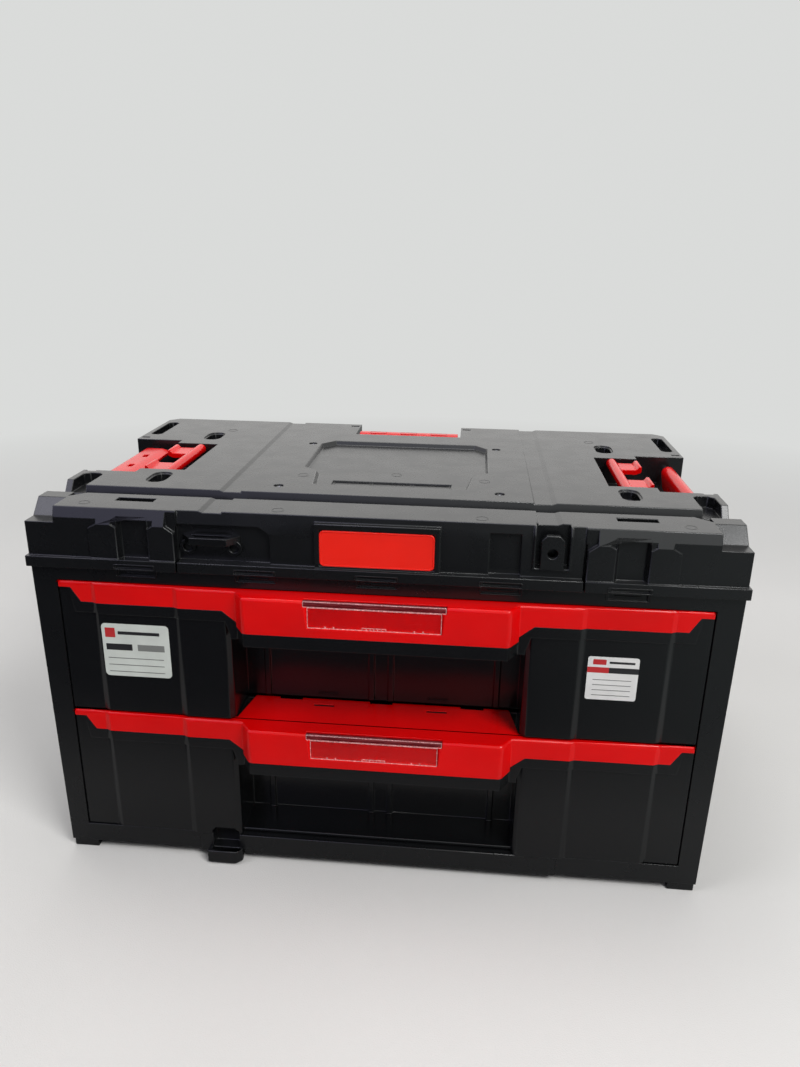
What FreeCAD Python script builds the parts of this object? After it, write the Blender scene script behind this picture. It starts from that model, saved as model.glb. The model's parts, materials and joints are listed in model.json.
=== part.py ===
import FreeCAD, Part
import os
import Sketcher
from FreeCAD import Placement, Rotation, Vector

# Portable tool box with two drawers, millimetres.
# X runs to the right, Y to the back, Z up; the origin is under the middle of the overall box.

DRIVING = {
    # case
    "opening_width": 532.0,
    "stile_width": 20.0,
    "flange_overhang": 2.0,
    "case_depth": 352.0,
    "grip_reach": 15.0,
    "base_height": 26.3,
    "front_height": 120.4,
    "drawer_gap": 1.2,
    "header_height": 12.5,
    "side_draft": 3.0,
    "frame_setback": 3.0,
    "frame_depth": 12.0,
    "case_wall": 3.0,
    "foot_height": 8.0,
    "foot_width": 23.0,
    "foot_length": 46.0,
    "foot_inset": 1.0,
    "base_floor": 4.0,
    "side_rib_thick": 4.0,
    "side_rib_first": 16.0,
    "side_rib_headroom": 8.0,
    "apron_width": 320.0,
    "apron_proud": 1.5,
    "apron_drop": 1.2,
    "side_panel_depth": 1.5,
    "side_panel_margin": 34.0,
    # top cover
    "flange_height": 9.0,
    "skirt_height": 29.0,
    "slope_height": 13.0,
    "slope_run": 4.5,
    "cover_wall": 3.0,
    "cover_setback": 1.5,
    "rear_chamfer": 10.0,
    "band_depth": 43.0,
    "valley_width": 22.0,
    "valley_depth": 11.0,
    "valley_slope": 3.0,
    "corner_width": 24.0,
    "corner_shelf": 16.0,
    "corner_slope_run": 12.0,
    "corner_crest": 48.0,
    "corner_scoop": 16.0,
    "corner_valley_extra": 7.0,
    "corner_arm_slope": 8.0,
    "corner_cut_run": 14.0,
    "corner_cut_depth": 13.0,
    "centre_face_width": 322.0,
    "centre_face_setback": 4.0,
    "centre_slope_height": 16.0,
    "centre_slope_run": 2.5,
    "face_side_run": 2.0,
    "seam_width": 1.4,
    "seam_depth": 3.0,
    "outer_recess_gap": 23.0,
    "outer_recess_width": 26.0,
    "outer_recess_depth": 6.0,
    "outer_recess_drop": 9.0,
    "outer_recess_side_run": 2.5,
    "outer_block_inset": 53.0,
    "block_corner_run": 6.5,
    "block_corner_rise": 3.7,
    "block_inner_run": 9.0,
    "block_inner_rise": 6.4,
    "block_small_run": 4.0,
    "block_small_rise": 2.2,
    "corner_face_setback": 1.5,
    "loop_side_gap": 1.5,
    "loop_recess_room": 22.5,
    "loop_recess_depth": 4.0,
    "loop_recess_drop": 11.3,
    "loop_corner_run": 9.0,
    "loop_corner_rise": 6.0,
    "lug_pocket_inset": 11.8,
    "lug_pocket_width": 26.0,
    "lug_pocket_depth": 12.0,
    "lug_pocket_floor": 8.0,
    "lug_frame_thick": 1.8,
    "lug_frame_proud": 2.0,
    "lug_recess_gap": 11.0,
    "lug_recess_width": 24.5,
    "lug_recess_drop": 8.0,
    "lug_width": 18.0,
    "lug_thick": 5.0,
    "lug_setback": 1.5,
    "lug_drop": 7.0,
    "lug_corner": 4.0,
    "lug_hole_radius": 4.0,
    "lug_hole_height": 20.5,
    "groove_offset": 1.4,
    "groove_width": 15.0,
    "groove_depth": 1.4,
    "groove_side_run": 3.9,
    "deck_recess_depth": 4.0,
    "deck_recess_taper": 30.0,
    "deck_recess_front_gap": 33.0,
    "deck_recess_rear_gap": 39.0,
    "deck_recess_shoulder_length": 14.0,
    "deck_recess_neck_length": 44.0,
    "deck_recess_waist_length": 13.0,
    "deck_recess_back_half": 73.5,
    "deck_recess_half": 85.0,
    "deck_recess_neck_half": 71.0,
    "deck_recess_front_half": 66.0,
    "deck_tray_half": 54.0,
    "deck_tray_gap": 7.0,
    "deck_tray_length": 18.0,
    "deck_tray_depth": 1.5,
    "well_inner_inset": 91.5,
    "well_step_inset": 49.0,
    "well_side_wall": 25.0,
    "latch_shift": 1.0,
    "well_length": 104.0,
    "well_end_step": 12.0,
    "well_depth": 27.0,
    "band_slot_inset": 67.0,
    "band_slot_length": 32.0,
    "band_slot_front": 24.5,
    "band_slot_width": 9.0,
    "band_slot_depth": 8.0,
    "socket_width": 18.0,
    "socket_length": 34.0,
    "socket_depth": 9.0,
    "socket_rim": 1.5,
    "socket_rim_depth": 1.5,
    "socket_inset": 77.0,
    "socket_front_gap": 26.0,
    "socket_rear_gap": 37.5,
    "corner_socket_width": 12.0,
    "corner_socket_depth": 10.0,
    "rear_socket_inset": 11.0,
    "rear_socket_gap": 24.0,
    "front_socket_inset": 15.0,
    "front_socket_width": 18.0,
    "front_socket_gap": 9.0,
    "notch_half": 58.0,
    "notch_depth": 52.0,
    "clip_half": 15.0,
    "clip_middle_x": 98.0,
    "clip_outer_x": 197.0,
    "clip_window_height": 3.0,
    "clip_slot_height": 5.0,
    "clip_slot_drop": 1.5,
    "clip_depth": 2.0,
    "cover_screw_x": 96.5,
    "cover_screw_front_gap": 21.0,
    "cover_screw_rear_gap": 52.0,
    "cover_screw_radius": 2.0,
    "cover_screw_head_radius": 4.2,
    "cover_screw_head": 2.6,
    "cover_screw_length": 22.0,
    "screw_sink": 1.2,
    "screw_boss_wall": 3.5,
    # name plate and lock pieces
    "frame_plate_half": 49.5,
    "frame_plate_proud": 3.0,
    "frame_plate_drop": 5.0,
    "frame_plate_border": 4.0,
    "plate_thick": 1.6,
    "plate_sink": 1.0,
    "plate_top_border": 5.0,
    "plate_rise": 2.0,
    "loop_half": 24.0,
    "loop_tip_half": 15.0,
    "loop_bar": 4.0,
    "loop_reach": 11.0,
    "loop_thick": 6.0,
    "loop_drop": 20.0,
    "eyelet_radius": 6.5,
    "eyelet_bore": 3.6,
    "eyelet_thick": 4.0,
    "eyelet_x": 19.0,
    "eyelet_drop": 10.0,
    "keeper_x": 136.0,
    "keeper_half": 15.5,
    "keeper_reach": 9.0,
    "keeper_height": 12.0,
    "keeper_wall": 3.5,
    "keeper_foot_gap": 2.0,
    "keeper_chamfer": 5.0,
    "keeper_notch_rise": 7.0,
    "keeper_notch_corner": 3.5,
    # latches at the sides
    "lever_axis_inset": 17.0,
    "lever_axis_drop": 13.0,
    "lever_barrel_radius": 6.5,
    "lever_plate": 5.0,
    "lever_reach": 23.5,
    "lever_bevel": 8.0,
    "lever_end_gap": 0.6,
    "lever_slot_width": 5.0,
    "lever_slot_length": 9.0,
    "lever_slot_spread": 19.0,
    "lever_open_angle": 260.0,
    "latch_pin_radius": 2.5,
    "latch_pin_grip": 5.0,
    "pin_clearance": 0.05,
    "bail_axis_inset": 74.0,
    "bail_axis_drop": 5.2,
    "bail_radius": 5.0,
    "bail_pin_radius": 2.0,
    "claw_width": 26.0,
    "claw_spread": 31.0,
    "claw_reach": 24.0,
    "claw_rise": 5.6,
    "claw_thick": 5.0,
    "claw_hook": 5.0,
    # lever in the rear notch
    "rear_lever_half": 55.0,
    "rear_axis_inset": 40.0,
    "rear_axis_drop": 7.0,
    "rear_barrel_radius": 6.5,
    "rear_plate": 4.5,
    "rear_plate_drop": 22.0,
    "rear_pin_radius": 2.5,
    "rear_pad_half": 9.0,
    "rear_pad_spread": 34.0,
    "rear_pad_rise": 0.4,
    # drawer fronts
    "panel_thick": 3.0,
    "panel_step": 2.0,
    "panel_outer_inset": 31.4,
    "panel_inner_gap": 44.0,
    "panel_line_run": 4.0,
    "panel_outer_setback": 4.0,
    "front_side_gap": 0.5,
    "bay_half": 121.0,
    "bay_back_inset": 7.5,
    "bay_depth": 44.0,
    "bay_floor": 3.0,
    "bay_rib_inset": 17.0,
    "bay_rib_width": 5.0,
    "bay_rib_depth": 3.0,
    "bay_centre_rib_gap": 12.0,
    # red grip and its lower lip
    "grip_inset": 14.5,
    "grip_shoulder_inset": 6.4,
    "grip_band_proud": 2.5,
    "grip_wall": 2.6,
    "grip_height": 31.6,
    "band_height": 18.0,
    "grip_knee_gap": 5.4,
    "grip_knee_rise": 4.0,
    "band_tip": 5.4,
    "band_tip_inset": 1.5,
    "band_knee_inset": 11.5,
    "band_low_inset": 19.5,
    "band_top_depth": 6.5,
    "lip_centre_height": 11.8,
    "lip_side_height": 10.0,
    "lip_corner_inset": 0.4,
    "lip_knee_gap": 3.5,
    "lip_thick": 5.2,
    "lip_tip_inset": 9.0,
    "lip_low_inset": 13.0,
    "lip_setback": 0.8,
    "tray_notch_half": 10.0,
    "tray_notch_depth": 3.0,
    "tray_notch_x": 81.0,
    "tray_slot_half": 9.0,
    "tray_slot_width": 3.0,
    "tray_slot_x": 50.0,
    "tray_slot_inset": 9.0,
    # label windows
    "window_half": 53.5,
    "window_height": 20.5,
    "window_thick": 1.4,
    "window_seat": 2.4,
    "window_gap": 0.4,
    "window_bar_half": 56.7,
    "window_bar_radius": 2.6,
    "window_bar_drop": 2.6,
    "window_pin_radius": 1.0,
    "window_pin_grip": 2.5,
    # drawer trays
    "slide_width": 13.0,
    "tray_wall": 2.5,
    "tray_floor": 3.0,
    "tray_floor_rise": 4.0,
    "tray_headroom": 20.4,
    "tray_rear_gap": 12.0,
    "front_screw_radius": 1.6,
    "front_screw_head_radius": 3.4,
    "front_screw_head": 2.2,
    "front_screw_length": 4.6,
    "front_screw_inset": 22.0,
    "front_screw_low": 22.0,
    "front_screw_high": 66.0,
    # telescopic slides
    "slide_height": 37.0,
    "slide_skin": 1.5,
    "slide_clearance": 0.3,
    "slide_front": 2.0,
    "slide_rear_gap": 14.5,
    "slide_middle_inset": 8.0,
    "slide_rise": 46.0,
    "slide_lip": 2.0,
    # tools for cutting
    "overrun": 2.0,
}

doc = FreeCAD.newDocument("drawer_tool_box")
sheet = doc.addObject("Spreadsheet::Sheet", "sizes")
for row, (alias, value) in enumerate(DRIVING.items(), start=1):
    sheet.set("A%d" % row, alias)
    sheet.set("B%d" % row, str(value))
    sheet.setAlias("B%d" % row, alias)
doc.recompute()


class Size:
    """A length that carries its number and the sheet expression that it comes from."""

    def __init__(self, number, text):
        self.number = number
        self.text = text

    def __add__(self, other):
        other = as_size(other)
        return Size(self.number + other.number, "(%s + %s)" % (self.text, other.text))

    def __sub__(self, other):
        other = as_size(other)
        return Size(self.number - other.number, "(%s - %s)" % (self.text, other.text))

    def __mul__(self, other):
        other = as_size(other)
        return Size(self.number * other.number, "(%s * %s)" % (self.text, other.text))

    def __truediv__(self, other):
        other = as_size(other)
        return Size(self.number / other.number, "(%s / %s)" % (self.text, other.text))

    def __neg__(self):
        return Size(-self.number, "(0 - %s)" % self.text)


def as_size(value):
    """Plain counts and shares join a sum as they are."""
    if isinstance(value, Size):
        return value
    return Size(float(value), repr(value))


class Sizes:
    """The sheet's sizes by name, such as s.case_wall."""


s = Sizes()
for alias, value in DRIVING.items():
    setattr(s, alias, Size(value, "sizes." + alias))
zero = Size(0.0, "0")

# Levels and planes that several pieces share

front = (s.grip_reach - s.case_depth) / 2
back = front + s.case_depth
frame_front = front + s.frame_setback
opening_half = s.opening_width / 2
body_half = opening_half + s.stile_width
flange_half = body_half + s.flange_overhang
pitch = s.front_height + s.drawer_gap
opening_top = s.base_height + pitch * 2
rim = opening_top + s.header_height
flange_top = rim + s.flange_height
skirt_top = flange_top + s.skirt_height
deck = skirt_top + s.slope_height
well_floor = deck - s.well_depth
plate_low = flange_top + s.plate_rise
plate_high = deck - s.frame_plate_drop - s.plate_top_border
foot_half = body_half - s.side_draft
case_back = back - s.cover_setback

# Places along the depth

valley_back = front + s.band_depth + s.valley_width
latch_middle = front + s.case_depth / 2 + s.latch_shift
well_front = latch_middle - s.well_length / 2
well_back = latch_middle + s.well_length / 2
side_front = well_front - s.well_end_step
side_back = well_back + s.well_end_step
notch_front = back - s.notch_depth
rear_axis_y = back - s.rear_axis_inset
cover_screw_front = valley_back + s.cover_screw_front_gap
cover_screw_back = notch_front - s.cover_screw_rear_gap

# Places from the middle to the sides

centre_half = s.centre_face_width / 2
outer_recess_near = centre_half + s.outer_recess_gap
outer_recess_far = outer_recess_near + s.outer_recess_width
outer_block_far = body_half - s.outer_block_inset
corner_inner = body_half - s.corner_width
loop_x = centre_half - s.loop_side_gap - s.eyelet_radius - s.eyelet_x
loop_recess_near = loop_x - s.eyelet_x - s.eyelet_radius - s.loop_recess_room
lug_pocket_far = centre_half - s.lug_pocket_inset
lug_pocket_near = lug_pocket_far - s.lug_pocket_width
groove_near = lug_pocket_near + s.groove_offset
well_inner = body_half - s.well_inner_inset
well_step = body_half - s.well_step_inset
well_side = body_half - s.well_side_wall
lever_axis_x = body_half - s.lever_axis_inset
bail_axis_x = body_half - s.bail_axis_inset
socket_x = body_half - s.socket_inset
grip_half = s.bay_half - s.grip_inset
grip_shoulder = s.bay_half - s.grip_shoulder_inset
grip_knee = s.bay_half + s.grip_knee_gap
band_tip_half = opening_half - s.band_tip_inset
band_knee_half = opening_half - s.band_knee_inset
band_low_half = opening_half - s.band_low_inset
front_screw_x = opening_half - s.front_screw_inset


def bind(item, path, size):
    """Set a property and tie it to the sheet."""
    item.setExpression(path, size.text)


def place(item, x=zero, y=zero, z=zero):
    """Tie a piece's position to the sheet."""
    item.Placement = Placement(Vector(x.number, y.number, z.number), item.Placement.Rotation)
    for axis, size in (("x", x), ("y", y), ("z", z)):
        bind(item, "Placement.Base." + axis, size)


def new_body(name):
    body = doc.addObject("PartDesign::Body", name)
    body.Label = name
    return body


def origin_plane(body, role):
    return [plane for plane in body.Origin.OriginFeatures if plane.Role == role][0]


PLANE_OFFSET_SIGN = {"XY_Plane": 1, "XZ_Plane": -1, "YZ_Plane": 1}


def new_sketch(body, role, offset, wires, name="outline"):
    """A sketch of closed wires on one of the body's origin planes, moved along its normal.

    A wire is a list of (across, up) places; ("circle", across, up, radius) is a round one.
    """
    sketch = body.newObject("Sketcher::SketchObject", name)
    sketch.AttachmentSupport = [(origin_plane(body, role), "")]
    sketch.MapMode = "FlatFace"
    shift = offset if PLANE_OFFSET_SIGN[role] > 0 else -offset
    sketch.AttachmentOffset = Placement(Vector(0, 0, shift.number), Rotation())
    bind(sketch, "AttachmentOffset.Base.z", shift)
    for wire in wires:
        if wire[0] == "circle":
            add_circle(sketch, *wire[1:])
        else:
            add_polygon(sketch, wire)
    return sketch


def fix_point(sketch, index, position, across, up):
    """Two driven dimensions hold a point at its place."""
    for kind, size, axis in (("DistanceX", across, -2), ("DistanceY", up, -1)):
        if size.text == "0":
            sketch.addConstraint(Sketcher.Constraint("PointOnObject", index, position, axis))
        else:
            held = sketch.addConstraint(
                Sketcher.Constraint(kind, -1, 1, index, position, size.number))
            sketch.setExpression("Constraints[%d]" % held, size.text)


def add_polygon(sketch, wire):
    corners = [Vector(across.number, up.number, 0) for across, up in wire]
    first = sketch.GeometryCount
    last = len(corners) - 1
    for i, corner in enumerate(corners):
        sketch.addGeometry(Part.LineSegment(corner, corners[(i + 1) % len(corners)]), False)
    for i in range(len(corners)):
        following = first if i == last else first + i + 1
        sketch.addConstraint(Sketcher.Constraint("Coincident", first + i, 2, following, 1))
    for i, (across, up) in enumerate(wire):
        fix_point(sketch, first + i, 1, across, up)


def add_circle(sketch, across, up, radius):
    index = sketch.addGeometry(
        Part.Circle(Vector(across.number, up.number, 0), Vector(0, 0, 1), radius.number), False)
    fix_point(sketch, index, 3, across, up)
    held = sketch.addConstraint(Sketcher.Constraint("Radius", index, radius.number))
    sketch.setExpression("Constraints[%d]" % held, radius.text)


def pad(body, role, start, end, wires, name="pad"):
    """Pad wires from the level start to the level end, along the plane's world axis."""
    sketch = new_sketch(body, role, start, wires, name + "_sketch")
    feature = body.newObject("PartDesign::Pad", name)
    feature.Profile = sketch
    feature.Length = (end - start).number
    bind(feature, "Length", end - start)
    feature.Reversed = PLANE_OFFSET_SIGN[role] < 0
    sketch.Visibility = False
    return feature


def pocket(body, role, start, end, wires, name="pocket"):
    """Cut wires out from the level start to the level end, along the plane's world axis."""
    sketch = new_sketch(body, role, start, wires, name + "_sketch")
    feature = body.newObject("PartDesign::Pocket", name)
    feature.Profile = sketch
    feature.Length = (end - start).number
    bind(feature, "Length", end - start)
    feature.Reversed = PLANE_OFFSET_SIGN[role] > 0
    sketch.Visibility = False
    return feature


def rectangle(low, high, bottom, top):
    return [(low, bottom), (high, bottom), (high, top), (low, top)]


OCTAGON_SHARES = ((1, 0), (0.70711, 0.70711), (0, 1), (-0.70711, 0.70711),
                  (-1, 0), (-0.70711, -0.70711), (0, -1), (0.70711, -0.70711))
OCTAGON_REACH_SHARE = 1.08239


def octagon(across, up, reach):
    """Eight corners at a distance of reach, as screws and their holes have."""
    return [(across + reach * first, up + reach * second) for first, second in OCTAGON_SHARES]


def octagon_seat(across, up, radius):
    """Eight flats that touch a round pin of that radius all round."""
    return octagon(across, up, radius * OCTAGON_REACH_SHARE)


def mirrored_wires(wires):
    """The same wires on both sides of the middle."""
    both = []
    for wire in wires:
        both.append(wire)
        if wire[0] == "circle":
            both.append(("circle", -wire[1], wire[2], wire[3]))
        else:
            both.append([(-across, up) for across, up in reversed(wire)])
    return both


def symmetric(half_points):
    """Close an outline whose right half is given, with its mirror image on the left."""
    return half_points + [(-across, up) for across, up in reversed(half_points)]


def block(name, low, high):
    """A box between two corners, both in named sizes."""
    item = doc.addObject("Part::Box", name)
    for path, small, large in zip(("Length", "Width", "Height"), low, high):
        setattr(item, path, (large - small).number)
        bind(item, path, large - small)
    place(item, *low)
    return item


TURNS = {
    "x": Rotation(Vector(0, 1, 0), 90),
    "y": Rotation(Vector(1, 0, 0), -90),
    "z": Rotation(),
}


def rod(name, axis, start, radius, length):
    """A cylinder from start along a world axis."""
    item = doc.addObject("Part::Cylinder", name)
    item.Radius = radius.number
    item.Height = length.number
    bind(item, "Radius", radius)
    bind(item, "Height", length)
    item.Placement = Placement(Vector(), TURNS[axis])
    place(item, *start)
    return item


def flat_sided_rod(name, axis, start, reach, length, sides):
    """A rod with flats from start along a world axis, its corners at a distance of reach."""
    item = doc.addObject("Part::Prism", name)
    item.Polygon = sides
    item.Circumradius = reach.number
    item.Height = length.number
    bind(item, "Circumradius", reach)
    bind(item, "Height", length)
    item.Placement = Placement(Vector(), TURNS[axis])
    place(item, *start)
    return item


def prism(name, role, start, end, wire):
    """An outline extruded along a world axis, as a body of its own that others use."""
    body = new_body(name)
    pad(body, role, start, end, [wire], name + "_pad")
    return body


def joined(name, items):
    union = doc.addObject("Part::MultiFuse", name)
    union.Shapes = items
    union.Label = name
    return union


def cut_from(name, base, tools):
    """Take one or more tools away from a base."""
    tool = tools[0]
    if len(tools) > 1:
        tool = joined(name + "_tools", tools)
    result = doc.addObject("Part::Cut", name)
    result.Base = base
    result.Tool = tool
    result.Label = name
    return result


def group_of(name, items):
    """Identical fasteners, one piece of the list, as separate solids."""
    group = doc.addObject("Part::Compound", name)
    group.Links = items
    group.Label = name
    return group


def mirror_of(name, source):
    """The left-hand twin of a right-hand piece."""
    twin = doc.addObject("Part::Mirroring", name)
    twin.Source = source
    twin.Normal = Vector(1, 0, 0)
    twin.Base = Vector(0, 0, 0)
    twin.Label = name
    return twin


def turned(name, source, centre, turn):
    """A piece's copy turned about a fixed line through centre."""
    copy = doc.addObject("Part::Compound", name)
    copy.Links = [source]
    copy.Label = name
    copy.Placement = Placement(Vector(), turn, Vector(*[part.number for part in centre]))
    return copy


NODES = []


def keep(item):
    """List a finished piece for checking and writing."""
    NODES.append(item)
    return item


# Case: a moulding with a front frame, side walls with ribs, back and floor, on four feet,
# with a bottom rail set in between the corners of the frame

SIDE_RIB_COUNT = 4


def wall_x(level):
    """Where the drafted side wall's outer face lies at a level."""
    share = (level - s.foot_height) / (rim - s.foot_height)
    return foot_half + s.side_draft * share


def pattern_along_y(body, feature, span, count):
    """Repeat the last feature towards the back."""
    axis = [part for part in body.Origin.OriginFeatures if part.Role == "Y_Axis"][0]
    pattern = body.newObject("PartDesign::LinearPattern", feature.Label + "_row")
    pattern.Originals = [feature]
    pattern.Direction = (axis, [""])
    pattern.Length = span.number
    bind(pattern, "Length", span)
    pattern.Occurrences = count
    body.Tip = pattern
    return pattern


def build_housing():
    body = new_body("housing")
    floor_bottom = s.foot_height
    inner_top = body_half - s.case_wall
    inner_bottom = foot_half - s.case_wall
    frame_back = frame_front + s.frame_depth
    shell = [(foot_half, floor_bottom), (body_half, rim)]
    pad(body, "XZ_Plane", frame_front, case_back, [symmetric(shell)], "shell")
    hollow = [(inner_bottom, floor_bottom + s.base_floor), (inner_top, rim + s.overrun)]
    pocket(body, "XZ_Plane", frame_back, case_back - s.case_wall, [symmetric(hollow)], "hollow")
    mouth = rectangle(-opening_half, opening_half, s.base_height, opening_top)
    pocket(body, "XZ_Plane", frame_front - s.overrun, frame_back + s.overrun, [mouth], "mouth")

    rib_low = floor_bottom + s.base_floor / 2
    rib_top = rim - s.side_rib_headroom
    first_rib = frame_back + s.side_rib_first
    last_rib = case_back - s.case_wall - s.side_rib_first - s.side_rib_thick
    rib = [
        (opening_half, rib_low), (inner_bottom + s.case_wall / 2, rib_low),
        (wall_x(rib_top) - s.case_wall / 2, rib_top), (opening_half, rib_top),
    ]
    ribs = pad(body, "XZ_Plane", first_rib, first_rib + s.side_rib_thick,
               mirrored_wires([rib]), "ribs")
    pattern_along_y(body, ribs, last_rib - first_rib, SIDE_RIB_COUNT)

    rail_room = rectangle(-s.apron_width / 2, s.apron_width / 2,
                          floor_bottom - s.overrun, s.base_height)
    pocket(body, "XZ_Plane", frame_front - s.overrun, frame_back, [rail_room], "rail_room")

    slots = []
    slot_top = rim - s.clip_slot_drop
    for x in (zero, s.clip_middle_x, s.clip_outer_x):
        wire = rectangle(x - s.clip_half, x + s.clip_half, slot_top - s.clip_slot_height, slot_top)
        slots += [wire] if x is zero else mirrored_wires([wire])
    pocket(body, "XZ_Plane", frame_front - s.overrun, frame_front + s.clip_depth, slots, "clips")

    panel_low = s.foot_height + s.side_panel_margin
    panel_high = rim - s.side_panel_margin / 2
    panel = [
        (wall_x(panel_low) - s.side_panel_depth, panel_low),
        (wall_x(panel_low) + s.overrun, panel_low),
        (wall_x(panel_high) + s.overrun, panel_high),
        (wall_x(panel_high) - s.side_panel_depth, panel_high),
    ]
    pocket(body, "XZ_Plane", frame_front + s.side_panel_margin,
           case_back - s.side_panel_margin, mirrored_wires([panel]), "side_panels")
    return keep(body)


def build_base_feet():
    """Four corner feet, side by side with the sockets of the cover below."""
    foot_outer = foot_half - s.foot_inset
    foot_inner = foot_outer - s.foot_width
    feet = []
    for side, left in (("left", -foot_outer), ("right", foot_inner)):
        for row, near in (("front", frame_front + s.foot_inset),
                          ("back", case_back - s.foot_inset - s.foot_length)):
            feet.append(block("foot_%s_%s" % (side, row), (left, near, zero),
                              (left + s.foot_width, near + s.foot_length, s.foot_height)))
    return keep(group_of("base_feet", feet))


def build_base_rail():
    """Bottom rail of the frame, proud of it, with a mouth behind the lock keeper."""
    body = new_body("base_rail")
    rail_front = frame_front - s.apron_proud
    rail_back = frame_front + s.frame_depth
    low = s.foot_height - s.apron_drop
    rail = rectangle(-s.apron_width / 2, s.apron_width / 2, low, s.base_height)
    pad(body, "XZ_Plane", rail_front, rail_back, [rail], "rail")
    keeper_left = -s.keeper_x - s.keeper_half + s.keeper_wall
    keeper_right = -s.keeper_x + s.keeper_half - s.keeper_wall
    mouth = rectangle(keeper_left, keeper_right, s.foot_height + s.base_floor,
                      s.base_height + s.overrun)
    pocket(body, "XZ_Plane", rail_front - s.overrun, rail_back - s.case_wall, [mouth], "mouth")
    return keep(body)


# Top cover: flange, skirt with blocks, sloped front band, valley, deck, wells and sockets


def well_outline():
    """Plan of the right latch well, open to the side."""
    outside = flange_half + s.overrun
    return [
        (well_inner, well_front), (well_step, well_front), (well_step, side_front),
        (outside, side_front), (outside, side_back), (well_step, side_back),
        (well_step, well_back), (well_inner, well_back),
    ]


def slot_wire(x, low, high, width):
    """A narrow pocket with chamfered ends, long in Y."""
    half = width / 2
    cut = width / 3.5
    return [
        (x - half, low + cut), (x - half + cut, low), (x + half - cut, low),
        (x + half, low + cut), (x + half, high - cut), (x + half - cut, high),
        (x - half + cut, high), (x - half, high - cut),
    ]


OVAL_SHARES = [(1, 0.45), (0.87, 0.75), (0.5, 0.95), (0, 1)]


def oval_wire(x, y, half_width, half_length):
    """A long oval with flat sides, from the same shares in each quarter."""
    quarter = [(half_width * across, half_length * along) for across, along in OVAL_SHARES]
    right = [(x + across, y + along) for across, along in quarter]
    left = [(x - across, y + along) for across, along in quarter[:-1]]
    low_left = [(x - across, y - along) for across, along in quarter]
    low_right = [(x + across, y - along) for across, along in quarter[:-1]]
    return right + left[::-1] + low_left + low_right[::-1]


def cover_outer(body):
    """The solid that the mould makes outside, before any pocket."""
    flange = rectangle(-flange_half, flange_half, front - s.cover_setback, back)
    pad(body, "XY_Plane", rim, flange_top, [flange], "flange")
    top_front = [(-body_half, front), (body_half, front)]
    top_back = [
        (body_half, case_back - s.rear_chamfer),
        (body_half - s.rear_chamfer, case_back),
        (-body_half + s.rear_chamfer, case_back),
        (-body_half, case_back - s.rear_chamfer),
    ]
    pad(body, "XY_Plane", flange_top - s.flange_height / 2, deck, [top_front + top_back], "slab")


def cover_front(body):
    """Slopes, valley and the stepped faces of the front."""
    above = deck + s.overrun
    outside = front - s.cover_setback - s.overrun
    valley_floor = deck - s.valley_depth
    band_back = front + s.band_depth
    slope = [
        (outside, skirt_top), (front, skirt_top),
        (front + s.slope_run, deck), (front + s.slope_run, above), (outside, above),
    ]
    valley = [
        (band_back, above), (band_back, deck),
        (band_back + s.valley_slope, valley_floor),
        (valley_back - s.valley_slope, valley_floor),
        (valley_back, deck), (valley_back, above),
    ]
    pocket(body, "YZ_Plane", -flange_half - s.overrun, flange_half + s.overrun,
           [slope, valley], "slope_and_valley")
    cover_corners(body)

    face_level = front + s.centre_face_setback
    side_half = centre_half + s.face_side_run
    centre = symmetric([
        (side_half, outside), (side_half, front), (centre_half, face_level),
    ])
    pocket(body, "XY_Plane", flange_top, above, [centre], "centre_face")
    centre_slope = [
        (outside, deck - s.centre_slope_height), (face_level, deck - s.centre_slope_height),
        (face_level + s.centre_slope_run, deck), (face_level + s.centre_slope_run, above),
        (outside, above),
    ]
    pocket(body, "YZ_Plane", -centre_half, centre_half, [centre_slope], "centre_slope")
    seam = rectangle(centre_half, centre_half + s.seam_width, outside,
                     front + s.seam_depth + s.centre_face_setback)
    pocket(body, "XY_Plane", rim - s.overrun, skirt_top, mirrored_wires([seam]), "seams")

    ends = rectangle(outer_block_far, body_half + s.overrun, outside,
                     front + s.corner_face_setback)
    pocket(body, "XY_Plane", flange_top, above, mirrored_wires([ends]), "end_faces")
    recess_back = front + s.outer_recess_depth
    recess = [
        (outer_recess_near, outside), (outer_recess_far, outside), (outer_recess_far, front),
        (outer_recess_far - s.outer_recess_side_run, recess_back),
        (outer_recess_near + s.outer_recess_side_run, recess_back), (outer_recess_near, front),
    ]
    pocket(body, "XY_Plane", flange_top, deck - s.outer_recess_drop,
           mirrored_wires([recess]), "outer_recesses")
    block_corners(body)

    loop_face = face_level + s.loop_recess_depth
    recess_top = deck - s.loop_recess_drop
    loop_recess = [
        (-centre_half, flange_top), (-loop_recess_near, flange_top),
        (-loop_recess_near, recess_top - s.loop_corner_rise),
        (-loop_recess_near - s.loop_corner_run, recess_top), (-centre_half, recess_top),
    ]
    lug_recess_far = lug_pocket_near - s.lug_recess_gap
    lug_recess = rectangle(lug_recess_far - s.lug_recess_width, lug_recess_far, flange_top,
                           deck - s.lug_recess_drop)
    pocket(body, "XZ_Plane", outside, loop_face, [loop_recess, lug_recess], "front_recesses")
    cover_plate_holder(body)
    cover_lug(body)


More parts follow.
